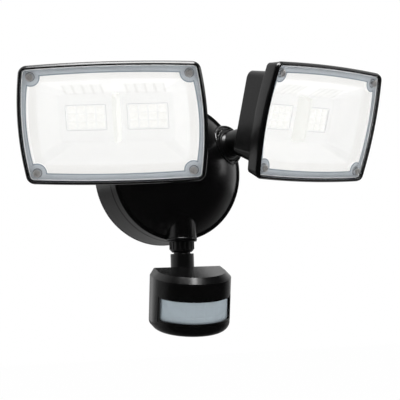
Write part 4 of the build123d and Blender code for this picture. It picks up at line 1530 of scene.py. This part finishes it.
# ------------------------------------------------------------------ the motion sensor
@dataclass
class MotionSensor:
    """The sensor's stem and head, with a lens skin of rows of lenslets (mm and degrees)."""

    pivot: tuple[float, float, float] = (0.0, -40.0, -90.5)
    yaw: float = -9.0
    pitch: float = -13.2
    back_rise: float = 14.2
    back_depth: float = 12.6
    arc_depth: float = 13.0
    arc_radius: float = 32.5
    skin_inset: float = 2.25
    skin_thickness: float = 0.8
    skin_half: float = 29.3
    skin_top: float = 17.2
    skin_bottom: float = 39.6
    columns: int = 9
    rows: int = 3
    swell: float = 0.12

    @property
    def back(self) -> Place:
        """The sensor's axes at the middle of its back's top edge."""
        stem = Place.facing(Vector(self.pivot) * MM, self.yaw, self.pitch)
        return stem.moved(0, self.back_rise * MM, -self.back_depth * MM)

    def _skin(self, shop: Workshop) -> None:
        """Makes the curved window: a part of a cylinder, with lenslets that swell.

        A point at angle a and height z lies at x = r sin(a), depth = arc depth + r cos(a). The
        front skin's r swells within each lenslet by swell (1 - u^4) (1 - v^4), where u and v run
        from -1 to 1 across it.

        Args:
            shop: Where pieces are made.
        """
        front = self.arc_radius - self.skin_inset
        edge, half = math.asin(self.skin_half / front), self.columns / 2
        angle = np.linspace(-edge, edge, 241)
        height = np.linspace(-self.skin_top, -self.skin_bottom, 61)
        across, up = np.meshgrid(angle, height)
        u = np.abs((across / edge * half + half) % 1.0 * 2 - 1)
        v = np.abs((up - height[0]) / (height[-1] - height[0]) * self.rows % 1.0 * 2 - 1)
        swell = self.swell * (1 - u**4) * (1 - v**4) - self.swell
        outer = self._bent(front + swell, across, up)
        inner = self._bent(front - self.skin_thickness + 0 * swell, across, up)
        face = np.concatenate([inner[:1], outer, inner[-1:]])
        rear = np.concatenate([inner[:1], inner, inner[-1:]])[:, ::-1]
        grid = np.concatenate([face, rear], axis=1)
        shop.add("lens_skin", [grid], FRESNEL, "sensor_head_body", "fresnel_grey", ("fresnel_lens",), True)

    def _bent(self, radius: Any, angle: Any, height: Any) -> np.ndarray:
        """World points of a bent surface.

        Args:
            radius: Distances from the window's axis, in millimetres.
            angle: Angles from straight ahead, in radians.
            height: Heights over the sensor's top edge, in millimetres.

        Returns:
            The points.
        """
        depth = self.arc_depth + radius * np.cos(angle)
        return self.back.at(radius * np.sin(angle) * MM, height * MM, -depth * MM)

    def build(self, shop: Workshop) -> None:
        """Makes and dresses the stem and the sensor.

        Args:
            shop: Where pieces are made.
        """
        self._skin(shop)
        shop.dress(ZINC, "sensor_stem_clip")
        shop.dress(BOARD, "sensor_board", "control_board")
        for node, recipe, body, slot, width in (
            ("sensor_lock_ring", JOINT, "sensor_ring_body", "joint_black", 0.25),
            ("sensor_stem", JOINT, "sensor_stem_body", "joint_black", 0.35),
            ("sensor_front_shell", BODY, "sensor_head_body", "body_black", 0.4),
            ("sensor_rear_shell", BODY, "sensor_head_body", "body_black", 0.4),
            ("window_frame", BODY, "sensor_head_body", "body_black", 0.15),
            ("sensor_screws", STEEL, "sensor_head_body", "steel_screw", 0.2),
            ("sensor_pin", STEEL, "sensor_head_body", "steel_screw", 0.3),
            ("pyro_sensor", CAN, "sensor_head_body", "can_steel", 0.3),
            ("time_dial", DIAL, "time_dial_body", "dial_grey", 0.2),
            ("range_dial", DIAL, "range_dial_body", "dial_grey", 0.2),
            ("mode_switch", DIAL, "mode_switch_body", "dial_grey", 0.2),
        ):
            shop.soften(node, recipe, body, width * MM)


# ------------------------------------------------------------------ the scene's camera and light
@dataclass(frozen=True)
class SoftBox:
    """One square soft light that faces the part: metres for its place and side, and watts."""

    name: str
    place: tuple[float, float, float]
    side: float
    power: float

    def add(self, target: tuple[float, float, float]) -> None:
        """Hangs the light.

        Args:
            target: The point that it faces, in metres.
        """
        data = bpy.data.lights.new(self.name, "AREA")
        data.shape = "SQUARE"
        data.size = self.side
        data.energy = self.power
        lamp = bpy.data.objects.new(self.name, data)
        bpy.context.scene.collection.objects.link(lamp)
        lamp.rotation_mode = "QUATERNION"
        lamp.location = self.place
        lamp.rotation_quaternion = (Vector(target) - Vector(self.place)).to_track_quat("-Z", "Y")


@dataclass
class Studio:
    """Camera, soft boxes, white surroundings and a pale floor. Lengths are metres."""

    eye: tuple[float, float, float] = (-0.4694, -1.1070, -0.0877)
    look: tuple[float, float, float] = (0.4149, 0.9083, 0.0544)
    right: tuple[float, float, float] = (0.9099, -0.4137, -0.0319)
    lens: float = 126.0
    target: tuple[float, float, float] = (0.0, -0.08, -0.02)
    boxes: tuple[SoftBox, ...] = (
        SoftBox("overhead", (-0.15, -0.35, 1.25), 0.8, 30.0),
        SoftBox("left", (-1.5, -0.1, 0.25), 0.8, 1.0),
        SoftBox("right", (1.5, -0.4, 0.35), 0.6, 2.5),
    )
    ambient: float = 0.5
    mirrored_low: float = 0.02
    mirrored_high: float = 0.75
    horizon: tuple[float, float] = (-0.15, 0.6)
    floor_height: float = -0.34
    floor_half: float = 3.0
    floor_cover: float = 0.985
    floor_fade: tuple[float, float] = (-0.1, 0.5)
    floor_mirror: float = 0.3

    def camera(self) -> None:
        """Places the camera where the photograph was taken from."""
        data = bpy.data.cameras.new("camera")
        data.lens = self.lens
        data.sensor_width = 36.0
        data.clip_start = 0.05
        data.clip_end = 50.0
        eye = bpy.data.objects.new("camera", data)
        bpy.context.scene.collection.objects.link(eye)
        back, right = -Vector(self.look).normalized(), Vector(self.right)
        across = (right - right.project(back)).normalized()
        turn = Matrix((across, back.cross(across), back)).transposed().to_4x4()
        eye.matrix_world = Matrix.Translation(self.eye) @ turn
        bpy.context.scene.camera = eye

    def surroundings(self) -> None:
        """White behind the part, for the camera and for reflections, and dim elsewhere."""
        world = bpy.data.worlds.new("surroundings")
        bpy.context.scene.world = world
        graph = Graph(world)
        way = graph.node("ShaderNodeTexCoord", output="Generated")
        spread = {
            "Value": graph.parts(way)[1],
            "From Min": self.horizon[0],
            "From Max": self.horizon[1],
            "To Min": self.mirrored_low,
            "To Max": self.mirrored_high,
        }
        behind = graph.node("ShaderNodeMapRange", {"interpolation_type": "SMOOTHSTEP"}, spread, "Result")
        dim, shine, white = (
            graph.node("ShaderNodeBackground", None, {"Color": rgba(1, 1, 1), "Strength": strength})
            for strength in (self.ambient, behind, 1.0)
        )
        mirrored = graph.node("ShaderNodeLightPath", output="Is Glossy Ray")
        seen = graph.node("ShaderNodeLightPath", output="Is Camera Ray")
        unseen = graph.node("ShaderNodeMixShader", None, {0: mirrored, 1: dim, 2: shine})
        shown = graph.node("ShaderNodeMixShader", None, {0: seen, 1: unseen, 2: white})
        graph.node("ShaderNodeOutputWorld", None, {"Surface": shown})

    def floor(self) -> None:
        """A pale floor well under the part, white to the camera but for the part's soft shadow."""
        half, z = self.floor_half, self.floor_height
        mesh = bpy.data.meshes.new("floor")
        corners = [(-half, -half, z), (half, -half, z), (half, half, z), (-half, half, z)]
        mesh.from_pydata(corners, [], [(0, 1, 2, 3)])
        plate = bpy.data.objects.new("floor", mesh)
        bpy.context.scene.collection.objects.link(plate)
        graph = Graph.material("floor")
        pale = graph.blend(graph.noise(0.4), rgba(0.90, 0.90, 0.90), rgba(0.93, 0.93, 0.93))
        mirrored = graph.node("ShaderNodeLightPath", output="Is Glossy Ray")
        behind = graph.parts(graph.place())[1].between(*self.floor_fade)
        tone = graph.blend(mirrored * (1.0 - behind * self.floor_mirror), pale, rgba(0.01, 0.01, 0.01))
        matt = graph.node("ShaderNodeBsdfDiffuse", None, {"Color": tone})
        glow = graph.node("ShaderNodeEmission", None, {"Color": rgba(1, 1, 1)})
        seen = graph.node("ShaderNodeLightPath", output="Is Camera Ray")
        mix = graph.node("ShaderNodeMixShader", None, {0: seen * self.floor_cover, 1: matt, 2: glow})
        graph.node("ShaderNodeOutputMaterial", None, {"Surface": mix})
        mesh.materials.append(graph.owner)

    def build(self) -> None:
        """Sets up everything around the part."""
        bpy.context.scene.view_settings.view_transform = "Standard"
        self.camera()
        self.surroundings()
        for box in self.boxes:
            box.add(self.target)
        self.floor()


def main() -> None:
    """Builds the studio and the part's looks."""
    logging.basicConfig(level=logging.INFO, format="%(message)s")
    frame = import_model()
    Studio().build()
    shop = Workshop(frame["nodes"])
    Base().build(shop)
    LampHead(Side.LEFT, yaw=-30.3, roll=-1.1, pitch=-18.8).build(shop)
    LampHead(Side.RIGHT, yaw=23.1, roll=0.8, pitch=-16.8).build(shop)
    MotionSensor().build(shop)


if __name__ == "__main__":
    main()
